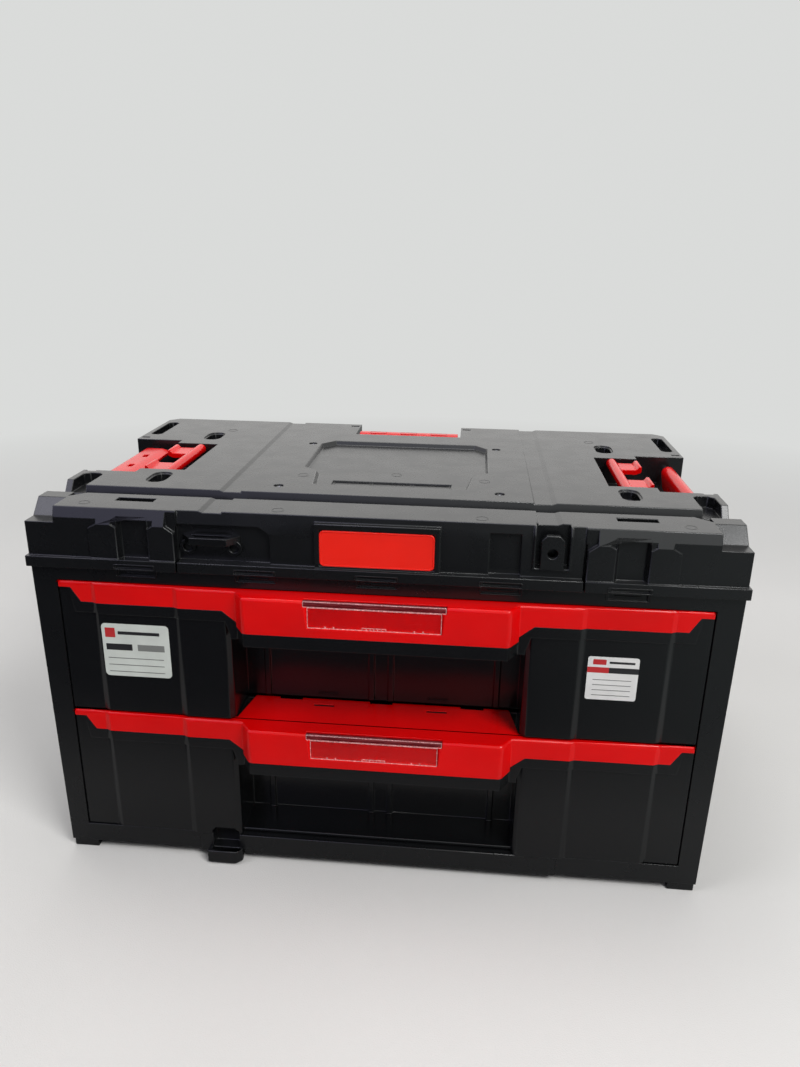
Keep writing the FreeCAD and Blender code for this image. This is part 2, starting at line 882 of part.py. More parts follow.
def cover_corners(body):
    """Low shelf, slope and crest at each end of the band, and the wider valley there."""
    above = deck + s.overrun
    outside = front - s.cover_setback - s.overrun
    valley_floor = deck - s.valley_depth
    slope_foot = front + s.corner_shelf
    slope_head = slope_foot + s.corner_slope_run
    crest = front + s.corner_crest
    floor_front = crest + s.corner_scoop
    floor_back = valley_back + s.corner_valley_extra
    shelf = [
        (outside, skirt_top), (slope_foot, skirt_top), (slope_head, deck),
        (slope_head, above), (outside, above),
    ]
    gap = [
        (crest, above), (crest, deck), (crest + s.corner_scoop / 4, deck - s.valley_depth / 2),
        (floor_front, valley_floor), (floor_back, valley_floor),
        (floor_back + s.corner_arm_slope, deck), (floor_back + s.corner_arm_slope, above),
    ]
    wires = [shelf, gap]
    pocket(body, "YZ_Plane", corner_inner, body_half + s.overrun, wires, "right_corner")
    pocket(body, "YZ_Plane", -body_half - s.overrun, -corner_inner, wires, "left_corner")
    band_back = front + s.band_depth + s.overrun
    cut = [
        (corner_inner, band_back - s.corner_cut_depth), (corner_inner, band_back),
        (corner_inner - s.corner_cut_run, band_back),
    ]
    pocket(body, "XY_Plane", valley_floor, above, mirrored_wires([cut]), "band_end_cuts")


def block_corners(body):
    """Slanted top corners of the proud blocks, each cut back to its neighbour's face."""
    above = deck + s.overrun
    outside = front - s.cover_setback - s.overrun

    def corner(side, run, rise):
        return [(side - run, skirt_top), (side, skirt_top - rise), (side, above),
                (side - run, above)]

    outer = corner(outer_block_far, s.block_corner_run, s.block_corner_rise)
    near = corner(outer_recess_near, s.block_small_run, s.block_small_rise)
    far = corner(outer_recess_far, -s.block_small_run, s.block_small_rise)
    pocket(body, "XZ_Plane", outside, front + s.corner_face_setback,
           mirrored_wires([outer, near, far[::-1]]), "outer_block_corners")
    inner = corner(centre_half, -s.block_inner_run, s.block_inner_rise)
    pocket(body, "XZ_Plane", outside, front + s.centre_face_setback,
           mirrored_wires([inner[::-1]]), "inner_block_corners")


def cover_plate_holder(body):
    """Raised frame in the middle, with a seat for the plain plate."""
    plate_face = front + s.centre_face_setback - s.frame_plate_proud
    holder = rectangle(-s.frame_plate_half, s.frame_plate_half, plate_face,
                       front + s.band_depth / 2)
    pad(body, "XY_Plane", flange_top - s.flange_height / 2, deck - s.frame_plate_drop,
        [holder], "plate_holder")
    seat_half = s.frame_plate_half - s.frame_plate_border
    seat = rectangle(-seat_half, seat_half, plate_low, plate_high)
    pocket(body, "XZ_Plane", plate_face - s.overrun, plate_face + s.plate_sink, [seat], "seat")


def cover_lug(body):
    """Padlock lug in a deep pocket with a thin frame round it."""
    above = deck + s.overrun
    outside = front - s.cover_setback - s.overrun
    floor = flange_top + s.lug_pocket_floor
    thick = s.lug_frame_thick
    frame_face = front + s.centre_face_setback - s.lug_frame_proud
    pocket_back = front + s.lug_pocket_depth
    border = rectangle(lug_pocket_near - thick, lug_pocket_far + thick, floor - thick, deck)
    pad(body, "XZ_Plane", frame_face, pocket_back, [border], "lug_frame")
    slope = [
        (outside, skirt_top), (front, skirt_top), (front + s.slope_run, deck),
        (front + s.slope_run, above), (outside, above),
    ]
    pocket(body, "YZ_Plane", lug_pocket_near - thick, lug_pocket_far + thick, [slope],
           "lug_frame_slope")
    room = rectangle(lug_pocket_near, lug_pocket_far, outside, pocket_back)
    pocket(body, "XY_Plane", floor, above, [room], "lug_pocket")
    middle = (lug_pocket_near + lug_pocket_far) / 2
    half = s.lug_width / 2
    low = floor - s.lug_frame_thick / 2
    high = deck - s.lug_drop
    corner = s.lug_corner
    lug = [
        (middle - half, low), (middle + half, low), (middle + half, high - corner),
        (middle + half - corner, high), (middle - half + corner, high),
        (middle - half, high - corner),
    ]
    hole = ("circle", middle, flange_top + s.lug_hole_height, s.lug_hole_radius)
    lug_front = front + s.lug_setback
    pad(body, "XZ_Plane", lug_front, lug_front + s.lug_thick, [lug, hole], "lug")


def cover_deck(body):
    """Wells, sockets, grooves, notch and the sunk panel of the deck."""
    above = deck + s.overrun
    groove_far = groove_near + s.groove_width
    groove = [
        (groove_near, deck - s.groove_depth), (groove_far, deck - s.groove_depth),
        (groove_far + s.groove_side_run, deck), (groove_far + s.groove_side_run, above),
        (groove_near, above),
    ]
    pocket(body, "XZ_Plane", front - s.overrun, back + s.overrun, mirrored_wires([groove]),
           "grooves")
    pocket(body, "XY_Plane", well_floor, above, mirrored_wires([well_outline()]), "wells")
    side_slot = rectangle(well_side, flange_half + s.overrun, side_front, side_back)
    pocket(body, "XY_Plane", flange_top, above, mirrored_wires([side_slot]), "side_slots")
    notch = rectangle(-s.notch_half, s.notch_half, notch_front, back + s.overrun)
    pocket(body, "XY_Plane", flange_top, above, [notch], "rear_notch")

    recess_front = valley_back + s.deck_recess_front_gap
    neck = recess_front + s.deck_recess_neck_length
    recess_back = notch_front - s.deck_recess_rear_gap
    sunk = symmetric([
        (s.deck_recess_front_half, recess_front),
        (s.deck_recess_neck_half, neck),
        (s.deck_recess_half, neck + s.deck_recess_waist_length),
        (s.deck_recess_half, recess_back - s.deck_recess_shoulder_length),
        (s.deck_recess_back_half, recess_back),
    ])
    panel = pocket(body, "XY_Plane", deck - s.deck_recess_depth, deck, [sunk], "sunk_panel")
    panel.TaperAngle = s.deck_recess_taper.number
    bind(panel, "TaperAngle", s.deck_recess_taper)
    tray_front = recess_front + s.deck_tray_gap
    tray = rectangle(-s.deck_tray_half, s.deck_tray_half, tray_front,
                     tray_front + s.deck_tray_length)
    pocket(body, "XY_Plane", deck - s.deck_recess_depth - s.deck_tray_depth, above,
           [tray], "sunk_tray")

    slot_far = body_half - s.band_slot_inset
    slot_near = slot_far - s.band_slot_length
    slot_front = front + s.band_slot_front
    band_slot = rectangle(slot_near, slot_far, slot_front, slot_front + s.band_slot_width)
    pocket(body, "XY_Plane", deck - s.band_slot_depth, above,
           mirrored_wires([band_slot]), "band_slots")
    cover_sockets(body)


def cover_sockets(body):
    """Oval sockets with a sunk rim, and the long ones in the corners."""
    above = deck + s.overrun
    half_width = s.socket_width / 2
    half_length = s.socket_length / 2
    ovals = []
    rims = []
    for y in (well_front - s.socket_front_gap, well_back + s.socket_rear_gap):
        ovals.append(oval_wire(socket_x, y, half_width - s.socket_rim, half_length - s.socket_rim))
        rims.append(oval_wire(socket_x, y, half_width, half_length))
    pocket(body, "XY_Plane", deck - s.socket_rim_depth, above, mirrored_wires(rims),
           "socket_rims")
    pocket(body, "XY_Plane", deck - s.socket_depth, above, mirrored_wires(ovals), "sockets")
    width = s.corner_socket_width
    rear = slot_wire(body_half - s.rear_socket_inset, side_back + s.rear_socket_gap,
                     back - s.rear_socket_gap, width)
    middle = body_half - s.front_socket_inset
    half = s.front_socket_width / 2
    corner = s.front_socket_width / 4
    low = valley_back - s.valley_slope
    high = side_front - s.front_socket_gap
    channel = [
        (middle - half, low), (middle + half, low), (middle + half, high - corner),
        (middle + half - corner, high), (middle - half + corner, high),
        (middle - half, high - corner),
    ]
    pocket(body, "XY_Plane", deck - s.corner_socket_depth, above,
           mirrored_wires([rear, channel]), "corner_sockets")


def cover_inside(body):
    """Hollow the moulding from below, cell by cell, and leave its walls and ribs."""
    below = rim - s.overrun
    wall = s.cover_wall
    inner_half = body_half - wall
    base = rectangle(-inner_half, inner_half, front + s.outer_recess_depth + wall,
                     case_back - wall)
    pocket(body, "XY_Plane", below, flange_top - wall, [base], "base_cell")
    well_ceiling = well_floor - wall
    slot_inner = well_side - wall
    band_front = front + s.lug_pocket_depth + wall
    middle = rectangle(-slot_inner, slot_inner, band_front, notch_front - wall)
    pocket(body, "XY_Plane", below, well_ceiling, [middle], "middle_cell")
    band = rectangle(-outer_recess_near + wall, outer_recess_near - wall, band_front,
                     front + s.band_depth - wall)
    pocket(body, "XY_Plane", below, deck - s.groove_depth - wall, [band], "band_cell")
    valley = rectangle(-well_step, well_step, front + s.band_depth - wall - s.overrun,
                       valley_back + wall)
    pocket(body, "XY_Plane", below, deck - s.valley_depth - wall, [valley], "valley_cell")
    deck_cell = rectangle(-well_inner + wall, well_inner - wall, valley_back + wall,
                          notch_front - wall)
    pocket(body, "XY_Plane", below, deck - s.deck_recess_depth - s.deck_tray_depth - wall,
           [deck_cell], "deck_cell")
    arm_inner = s.notch_half + wall
    arm_front = side_back + wall
    cell_inner = well_inner - wall - s.overrun
    cell_front = notch_front - wall - s.overrun
    rear_arm = [
        (arm_inner, cell_front), (cell_inner, cell_front), (cell_inner, arm_front),
        (inner_half, arm_front), (inner_half, case_back - s.rear_chamfer - wall),
        (inner_half - s.rear_chamfer, case_back - wall), (arm_inner, case_back - wall),
    ]
    pocket(body, "XY_Plane", below, deck - s.corner_socket_depth - wall,
           mirrored_wires([rear_arm]), "rear_cells")
    front_arm = rectangle(cell_inner, inner_half, valley_back + wall, side_front - wall)
    pocket(body, "XY_Plane", below, deck - s.corner_socket_depth - wall,
           mirrored_wires([front_arm]), "front_cells")


def cover_pin_holes(body):
    """Seats that hold the latch pins and the rear pin."""
    levers = [octagon_seat(lever_axis_x, deck - s.lever_axis_drop, s.latch_pin_radius)]
    bails = [octagon_seat(bail_axis_x, deck - s.bail_axis_drop, s.bail_pin_radius)]
    grip = s.latch_pin_grip
    pocket(body, "XZ_Plane", side_front - grip, side_back + grip, mirrored_wires(levers),
           "lever_bores")
    pocket(body, "XZ_Plane", well_front - grip, well_back + grip, mirrored_wires(bails),
           "bail_bores")
    rear = [octagon_seat(rear_axis_y, deck - s.rear_axis_drop, s.rear_pin_radius)]
    pocket(body, "YZ_Plane", -s.notch_half - grip, s.notch_half + grip, rear, "rear_bore")


def pin_bosses(body):
    """Solid material round the pins inside the hollow arms."""
    wall = s.cover_wall
    grip = s.latch_pin_grip + wall
    lever_half = s.latch_pin_radius + wall
    lever_z = deck - s.lever_axis_drop
    lever_boss = rectangle(lever_axis_x - lever_half, lever_axis_x + lever_half,
                           lever_z - lever_half, lever_z + lever_half)
    pad(body, "XZ_Plane", side_front - grip, side_front - wall / 2,
        mirrored_wires([lever_boss]), "front_lever_bosses")
    pad(body, "XZ_Plane", side_back + wall / 2, side_back + grip,
        mirrored_wires([lever_boss]), "rear_lever_bosses")
    rear_half = s.rear_pin_radius + wall
    rear_z = deck - s.rear_axis_drop
    rear_boss = rectangle(rear_axis_y - rear_half, rear_axis_y + rear_half,
                          rear_z - rear_half, rear_z + rear_half)
    pad(body, "YZ_Plane", s.notch_half + wall / 2, s.notch_half + grip, [rear_boss],
        "right_rear_boss")
    pad(body, "YZ_Plane", -s.notch_half - grip, -s.notch_half - wall / 2, [rear_boss],
        "left_rear_boss")


def screw_seats(body):
    """Bosses under the deck, their counterbores and their holes."""
    head = s.cover_screw_head_radius + s.pin_clearance
    boss = s.cover_screw_radius + s.screw_boss_wall
    places = [(s.cover_screw_x, cover_screw_front), (s.cover_screw_x, cover_screw_back)]
    bosses = [octagon(x, y, boss) for x, y in places]
    seats = [("circle", x, y, head) for x, y in places]
    holes = [octagon(x, y, s.cover_screw_radius + s.pin_clearance) for x, y in places]
    head_level = deck - s.screw_sink - s.cover_screw_head
    pad(body, "XY_Plane", head_level - s.cover_screw_length - s.cover_wall, head_level,
        mirrored_wires(bosses), "screw_bosses")
    pocket(body, "XY_Plane", head_level, deck + s.overrun, mirrored_wires(seats), "screw_seats")
    pocket(body, "XY_Plane", head_level - s.cover_screw_length - s.pin_clearance, deck,
           mirrored_wires(holes), "screw_holes")


def clip_windows(body):
    """Thin windows in the front flange, above the case's clip slots."""
    windows = []
    low = rim + s.clip_slot_drop
    for x in (zero, s.clip_middle_x, s.clip_outer_x):
        wire = rectangle(x - s.clip_half, x + s.clip_half, low, low + s.clip_window_height)
        windows += [wire] if x is zero else mirrored_wires([wire])
    flange_front = front - s.cover_setback
    pocket(body, "XZ_Plane", flange_front - s.overrun, flange_front + s.clip_depth,
           windows, "clip_windows")


def build_cover():
    body = new_body("top_cover")
    cover_outer(body)
    cover_front(body)
    cover_deck(body)
    cover_inside(body)
    pin_bosses(body)
    screw_seats(body)
    cover_pin_holes(body)
    clip_windows(body)
    return keep(body)


SCREW_HEAD_SIDES = 16
SCREW_SHANK_SIDES = 8


def screw(name, x, y, top, head_radius, head, radius, length):
    """A pan-head screw that stands upright, its head's top at the level top."""
    cap = flat_sided_rod(name + "_head", "z", (x, y, top - head), head_radius, head,
                         SCREW_HEAD_SIDES)
    shank = flat_sided_rod(name + "_shank", "z", (x, y, top - head - length), radius, length,
                           SCREW_SHANK_SIDES)
    return joined(name, [cap, shank])


def build_cover_screws():
    screws = []
    for side, x in (("left", -s.cover_screw_x), ("right", s.cover_screw_x)):
        for row, y in (("front", cover_screw_front), ("back", cover_screw_back)):
            screws.append(screw("cover_screw_%s_%s" % (side, row), x, y,
                                deck - s.screw_sink, s.cover_screw_head_radius,
                                s.cover_screw_head, s.cover_screw_radius,
                                s.cover_screw_length))
    return keep(group_of("top_cover_screws", screws))


def build_name_plate():
    half = s.frame_plate_half - s.frame_plate_border - s.pin_clearance
    low = plate_low + s.pin_clearance
    high = plate_high - s.pin_clearance
    seat = front + s.centre_face_setback - s.frame_plate_proud + s.plate_sink
    body = new_body("name_plate")
    pad(body, "XZ_Plane", seat - s.plate_thick, seat, [rectangle(-half, half, low, high)])
    return keep(body)


def build_lock_loop():
    """Bracket with a window and two eyelets on the left of the cover's front."""
    wall = front + s.centre_face_setback + s.loop_recess_depth
    top = deck - s.loop_drop
    tip = wall - s.loop_reach
    body = new_body("lock_loop")
    x = -loop_x
    outer = [
        (x - s.loop_half, wall), (x - s.loop_tip_half, tip),
        (x + s.loop_tip_half, tip), (x + s.loop_half, wall),
    ]
    window = [
        (x - s.loop_half + s.loop_bar * 2, wall - s.loop_bar / 2),
        (x - s.loop_tip_half + s.loop_bar, tip + s.loop_bar),
        (x + s.loop_tip_half - s.loop_bar, tip + s.loop_bar),
        (x + s.loop_half - s.loop_bar * 2, wall - s.loop_bar / 2),
    ]
    pad(body, "XY_Plane", top - s.loop_thick, top, [outer, window], "bracket")
    eyelets = []
    for side in (-1, 1):
        eyelets.append(("circle", x + s.eyelet_x * side, top - s.eyelet_drop, s.eyelet_radius))
    pad(body, "XZ_Plane", wall - s.eyelet_thick, wall, eyelets, "eyelets")
    bores = []
    for side in (-1, 1):
        bores.append(("circle", x + s.eyelet_x * side, top - s.eyelet_drop, s.eyelet_bore))
    pocket(body, "XZ_Plane", wall - s.eyelet_thick - s.overrun, wall + s.overrun, bores, "bores")
    return keep(body)


def build_lock_keeper():
    """Pocketed bracket at the left of the bottom rail, above a neighbour's loop."""
    seat = frame_front - s.apron_proud
    left = -s.keeper_x - s.keeper_half
    right = -s.keeper_x + s.keeper_half
    low = s.keeper_foot_gap
    high = low + s.keeper_height
    body = new_body("lock_keeper")
    outline = [
        (left, seat), (left, seat - s.keeper_reach),
        (right - s.keeper_chamfer, seat - s.keeper_reach),
        (right, seat - s.keeper_reach + s.keeper_chamfer), (right, seat),
    ]
    pad(body, "XY_Plane", low, high, [outline], "block")
    inside = rectangle(left + s.keeper_wall, right - s.keeper_wall,
                       seat - s.keeper_reach + s.keeper_wall, seat + s.overrun)
    pocket(body, "XY_Plane", low + s.keeper_height / 2, high + s.overrun, [inside], "mouth")
    return keep(body)


# Latches: a lever on a pin at the outside, a bail with two claws on a pin at the inside


def build_latches():
    lever_z = deck - s.lever_axis_drop
    bail_z = deck - s.bail_axis_drop
    low = well_front
    high = well_back
    centre = (zero, latch_middle, zero)
    half_turn = Rotation(Vector(0, 0, 1), 180)

    x = -lever_axis_x
    lever_low = low + s.lever_end_gap
    lever_high = high - s.lever_end_gap
    barrel = rod("lever_barrel", "y", (x, lever_low, lever_z),
                 s.lever_barrel_radius, lever_high - lever_low)
    plate_top = lever_z + s.lever_barrel_radius
    tip = x + s.lever_reach
    plate_wire = [
        (x, plate_top), (x, plate_top - s.lever_plate),
        (tip, plate_top - s.lever_plate), (tip, plate_top - s.lever_plate / 2),
        (tip - s.lever_bevel, plate_top),
    ]
    plate = prism("lever_plate_form", "XZ_Plane", lever_low, lever_high, plate_wire)
    solid = joined("lever_solid", [barrel, plate])
    tools = [rod("lever_bore", "y", (x, lever_low - s.overrun, lever_z),
                 s.latch_pin_radius + s.pin_clearance,
                 lever_high - lever_low + s.overrun * 2)]
    slot_x = x + s.lever_barrel_radius + s.pin_clearance
    for side in (-1, 1):
        middle = latch_middle + s.lever_slot_spread * side
        tools.append(block("lever_slot_%d" % side,
                           (slot_x, middle - s.lever_slot_length / 2,
                            plate_top - s.lever_plate - s.overrun),
                           (slot_x + s.lever_slot_width, middle + s.lever_slot_length / 2,
                            plate_top + s.overrun)))
    left_lever = keep(cut_from("left_latch_lever", solid, tools))
    flipped = turned("lever_flipped", left_lever, centre, half_turn)
    hinge = (lever_axis_x, latch_middle, lever_z)
    swing = Rotation(Vector(0, 1, 0), s.lever_open_angle.number)
    keep(turned("right_latch_lever", flipped, hinge, swing))

    pin_low = side_front - s.latch_pin_grip + s.pin_clearance
    pin_high = side_back + s.latch_pin_grip - s.pin_clearance
    left_pin = keep(rod("left_latch_pin", "y", (x, pin_low, lever_z), s.latch_pin_radius,
                        pin_high - pin_low))
    keep(turned("right_latch_pin", left_pin, centre, half_turn))

    bx = -bail_axis_x
    bar = rod("bail_bar", "y", (bx, lever_low, bail_z), s.bail_radius, lever_high - lever_low)
    reach = bx - s.claw_reach
    rise = bail_z + s.claw_rise
    claw_wire = [
        (bx, bail_z + s.claw_thick / 2),
        (bx, bail_z - s.claw_thick / 2),
        (reach + s.claw_hook, bail_z - s.claw_thick / 2),
        (reach, bail_z),
        (reach, rise),
        (reach + s.claw_hook / 2, rise),
        (reach + s.claw_hook, bail_z + s.claw_thick / 2),
    ]
    parts = [bar]
    for side in (-1, 1):
        middle = latch_middle + s.claw_spread * side
        parts.append(prism("claw_form_%d" % side, "XZ_Plane", middle - s.claw_width / 2,
                           middle + s.claw_width / 2, claw_wire))
    bail_solid = joined("bail_solid", parts)
    bore = rod("bail_bore", "y", (bx, lever_low - s.overrun, bail_z),
               s.bail_pin_radius + s.pin_clearance, lever_high - lever_low + s.overrun * 2)
    left_bail = keep(cut_from("left_claw_bail", bail_solid, [bore]))
    keep(turned("right_claw_bail", left_bail, centre, half_turn))
    bail_pin_low = low - s.latch_pin_grip + s.pin_clearance
    bail_pin_high = high + s.latch_pin_grip - s.pin_clearance
    left_bail_pin = keep(rod("left_bail_pin", "y", (bx, bail_pin_low, bail_z),
                             s.bail_pin_radius, bail_pin_high - bail_pin_low))
    keep(turned("right_bail_pin", left_bail_pin, centre, half_turn))


def build_rear_lever():
    """Handle bar in the rear notch; its plate hangs down behind."""
    y = rear_axis_y
    z = deck - s.rear_axis_drop
    half = s.rear_lever_half
    barrel = rod("rear_barrel", "x", (-half, y, z), s.rear_barrel_radius, half * 2)
    plate_back = y + s.rear_barrel_radius
    plate_wire = [
        (y, z), (y, z + s.rear_barrel_radius), (plate_back, z + s.rear_barrel_radius),
        (plate_back, z - s.rear_plate_drop), (plate_back - s.rear_plate, z - s.rear_plate_drop),
        (plate_back - s.rear_plate, z),
    ]
    plate = prism("rear_plate_form", "YZ_Plane", -half, half, plate_wire)
    parts = [barrel, plate]
    for i in (-1, 0, 1):
        middle = s.rear_pad_spread * i
        parts.append(block("rear_pad_%d" % i,
                           (middle - s.rear_pad_half, y - s.rear_pad_half / 3, z),
                           (middle + s.rear_pad_half, y + s.rear_pad_half / 3,
                            z + s.rear_barrel_radius + s.rear_pad_rise)))
    solid = joined("rear_lever_solid", parts)
    bore = rod("rear_bore_tool", "x", (-half - s.overrun, y, z),
               s.rear_pin_radius + s.pin_clearance, half * 2 + s.overrun * 2)
    keep(cut_from("rear_lever", solid, [bore]))
    pin_half = s.notch_half + s.latch_pin_grip - s.pin_clearance
    keep(rod("rear_lever_pin", "x", (-pin_half, y, z), s.rear_pin_radius, pin_half * 2))


# Drawer front: black panel with a bay, red grip over it, lip below the grip, label window


def panel_face(proud):
    """Right half of the panel's stepped face, from its edge inwards, moved forwards by proud."""
    far = opening_half - s.panel_outer_inset
    near = s.bay_half + s.panel_inner_gap
    run = s.panel_line_run / 2
    outer_y = front + s.panel_outer_setback - proud
    middle_y = outer_y - s.panel_step
    inner_y = middle_y - s.panel_step
    return [
        (opening_half - s.front_side_gap, outer_y),
        (far + run, outer_y), (far - run, middle_y),
        (near + run, middle_y), (near - run, inner_y),
    ]


def panel_half_outline(inset):
    """The face and the turn into the bay, as an outline moved inwards by inset."""
    corner = s.bay_half + inset
    face = panel_face(-inset)
    inner_y = face[-1][1]
    return face + [
        (corner + s.panel_line_run, inner_y), (corner, inner_y + s.panel_line_run),
        (corner, front + s.bay_depth + inset),
    ]


def front_screw_holes():
    """Where the screws pass, as seen from the front."""
    return [octagon(front_screw_x, z, s.front_screw_radius)
            for z in (s.front_screw_low, s.front_screw_high)]


def build_front(prefix, level, notched):
    """Stepped panel with a finger bay. The grip below is the upper bay's floor."""
    body = new_body(prefix + "_drawer_front")
    right_skin = panel_half_outline(zero) + panel_half_outline(s.panel_thick)[::-1]
    high = s.front_height - s.grip_wall
    pad(body, "XY_Plane", zero, high, mirrored_wires([right_skin]), "side_panels")
    bay_out = s.bay_half + s.panel_thick
    bay_wall = rectangle(-bay_out, bay_out, front + s.bay_depth,
                         front + s.bay_depth + s.panel_thick)
    pad(body, "XY_Plane", zero, high, [bay_wall], "bay_wall")
    ribs = []
    face = front + s.bay_depth
    for x in (s.bay_half - s.bay_rib_inset, s.bay_centre_rib_gap / 2 + s.bay_rib_width):
        ribs.append(rectangle(x - s.bay_rib_width, x, face - s.bay_rib_depth,
                              face + s.panel_thick / 2))
    pad(body, "XY_Plane", s.bay_floor / 2, high - s.grip_wall, mirrored_wires(ribs), "bay_ribs")
    screw_end = front + s.panel_outer_setback + s.panel_thick + s.tray_wall - s.front_screw_length
    pocket(body, "XZ_Plane", screw_end, front + s.bay_depth / 4,
           mirrored_wires(front_screw_holes()), "screw_holes")
    if notched:
        bay_floor = rectangle(-bay_out, bay_out, front + s.panel_line_run * 2,
                              front + s.bay_depth + s.panel_thick)
        pad(body, "XY_Plane", zero, s.bay_floor, [bay_floor], "bay_floor")
        notch_half = s.keeper_half - s.keeper_wall
        corner = s.keeper_notch_corner
        left = -s.keeper_x - notch_half
        right = -s.keeper_x + notch_half
        high = s.keeper_notch_rise
        wire = [
            (left, -s.overrun), (right, -s.overrun), (right, high - corner),
            (right - corner, high), (left + corner, high), (left, high - corner),
        ]
        pocket(body, "XZ_Plane", front - s.overrun, front + s.bay_depth / 4, [wire], "notch")
    place(body, z=level)
    return keep(body)


def band_line(proud, wall):
    """Right half of a line in front of the panel, round the grip's shoulder to its face."""
    face = panel_face(proud)
    face[0] = (band_tip_half, face[0][1])
    shoulder = (grip_shoulder - wall / 2, face[-1][1])
    return face + [shoulder, (grip_half - wall / 2, front - s.grip_reach + wall)]


def band_ring(setback, wall):
    """Plan of the right part of the grip's skirt or of the lip below it."""
    outer = band_line(s.grip_band_proud - setback, setback)
    inner = band_line(zero, setback + wall)
    return outer + inner[::-1]


def build_grip(prefix, level):
    body = new_body(prefix + "_drawer_grip")
    top = s.front_height
    face = front - s.grip_reach
    bottom = top - s.grip_height
    bay_back = front + s.bay_depth - s.slide_clearance
    band_back = front + s.band_top_depth
    slab = band_line(s.grip_band_proud, zero)[::-1] + [
        (band_tip_half, band_back), (s.bay_half - s.slide_clearance, band_back),
        (s.bay_half - s.bay_back_inset, bay_back),
    ]
    pad(body, "XY_Plane", top - s.grip_wall, top, [symmetric(slab)], "top_plate")
    ring = band_ring(zero, s.grip_wall)
    pad(body, "XY_Plane", bottom, top - s.grip_wall, mirrored_wires([ring]), "skirt_sides")
    middle = rectangle(-grip_half, grip_half, face, face + s.grip_wall)
    pad(body, "XY_Plane", bottom, top - s.grip_wall, [middle], "skirt_middle")
    trim = [
        (grip_shoulder, bottom - s.overrun),
        (grip_shoulder, bottom + s.grip_knee_rise),
        (grip_knee, top - s.band_height),
        (band_low_half, top - s.band_height),
        (band_knee_half, top - s.band_tip),
        (band_tip_half + s.overrun, top - s.band_tip),
        (band_tip_half + s.overrun, bottom - s.overrun),
    ]
    pocket(body, "XZ_Plane", face - s.overrun, band_back, mirrored_wires([trim]), "band_outline")
    notch_front = bay_back - s.tray_notch_depth
    side_notch = rectangle(s.tray_notch_x - s.tray_notch_half,
                           s.tray_notch_x + s.tray_notch_half, notch_front, bay_back + s.overrun)
    centre_notch = rectangle(-s.tray_notch_half, s.tray_notch_half,
                             notch_front, bay_back + s.overrun)
    slot_y = bay_back - s.tray_slot_inset
    slot = rectangle(s.tray_slot_x - s.tray_slot_half, s.tray_slot_x + s.tray_slot_half,
                     slot_y - s.tray_slot_width, slot_y)
    pocket(body, "XY_Plane", top - s.grip_wall - s.overrun, top + s.overrun,
           mirrored_wires([side_notch, slot]) + [centre_notch], "tray_slots")

    bar_z = top - s.window_bar_drop
    seat_low = bar_z - s.window_height - s.window_gap
    window = rectangle(-s.window_half - s.window_gap, s.window_half + s.window_gap,
                       seat_low, bar_z)
    backing_half = s.window_bar_half + s.grip_wall * 2
    backing = rectangle(-backing_half, backing_half, face, face + s.window_seat + s.grip_wall)
    pad(body, "XY_Plane", bottom, top - s.grip_wall / 2, [backing], "window_backing")
    pocket(body, "XZ_Plane", face - s.overrun, face + s.window_seat, [window], "window_seat")
    bar_gap = s.window_bar_radius + s.window_gap
    bar_room = rectangle(face - s.overrun, face + s.window_bar_radius * 2 + s.window_gap,
                         bar_z - bar_gap, top + s.overrun)
    pocket(body, "YZ_Plane", -s.window_bar_half - s.window_gap,
           s.window_bar_half + s.window_gap, [bar_room], "bar_room")
    pin = ("circle", face + s.window_bar_radius, bar_z, s.window_pin_radius + s.pin_clearance)
    reach = s.window_bar_half + s.window_pin_grip + s.window_gap
    pocket(body, "YZ_Plane", -reach, reach, [pin], "pin_bores")
    place(body, z=level)
    return keep(body)


def build_lip(prefix, level):
    """Black rim that follows the lower edge of the grip."""
    body = new_body(prefix + "_drawer_lip")
    top = s.front_height
    face = front - s.grip_reach + s.lip_setback
    grip_bottom = top - s.grip_height
    low = grip_bottom - s.lip_centre_height
    band_low = top - s.band_height
    side_low = band_low - s.lip_side_height
    ring = band_ring(s.lip_setback, s.lip_thick)
    pad(body, "XY_Plane", low, top - s.band_tip, mirrored_wires([ring]), "sides")
    middle = rectangle(-grip_half, grip_half, face, face + s.lip_thick)
    pad(body, "XY_Plane", low, grip_bottom, [middle], "middle")
    corner = s.bay_half - s.lip_corner_inset
    below = [
        (corner, low - s.overrun),
        (corner, low + s.grip_knee_rise),
        (s.bay_half + s.lip_knee_gap, side_low),
        (opening_half - s.lip_low_inset, side_low),
        (opening_half - s.lip_tip_inset, top - s.band_tip),
        (opening_half - s.lip_tip_inset, top),
        (band_tip_half + s.overrun, top),
        (band_tip_half + s.overrun, low - s.overrun),
    ]
    above = symmetric([
        (grip_shoulder, grip_bottom),
        (grip_shoulder, grip_bottom + s.grip_knee_rise),
        (grip_knee, band_low),
        (band_low_half, band_low),
        (band_knee_half, top - s.band_tip),
        (band_knee_half, top),
    ])
    outside = face - s.overrun
    inside = front + s.bay_depth / 2
    pocket(body, "XZ_Plane", outside, inside, mirrored_wires([below]), "lower_line")
    pocket(body, "XZ_Plane", outside, inside, [above], "upper_line")
    place(body, z=level)
    return keep(body)


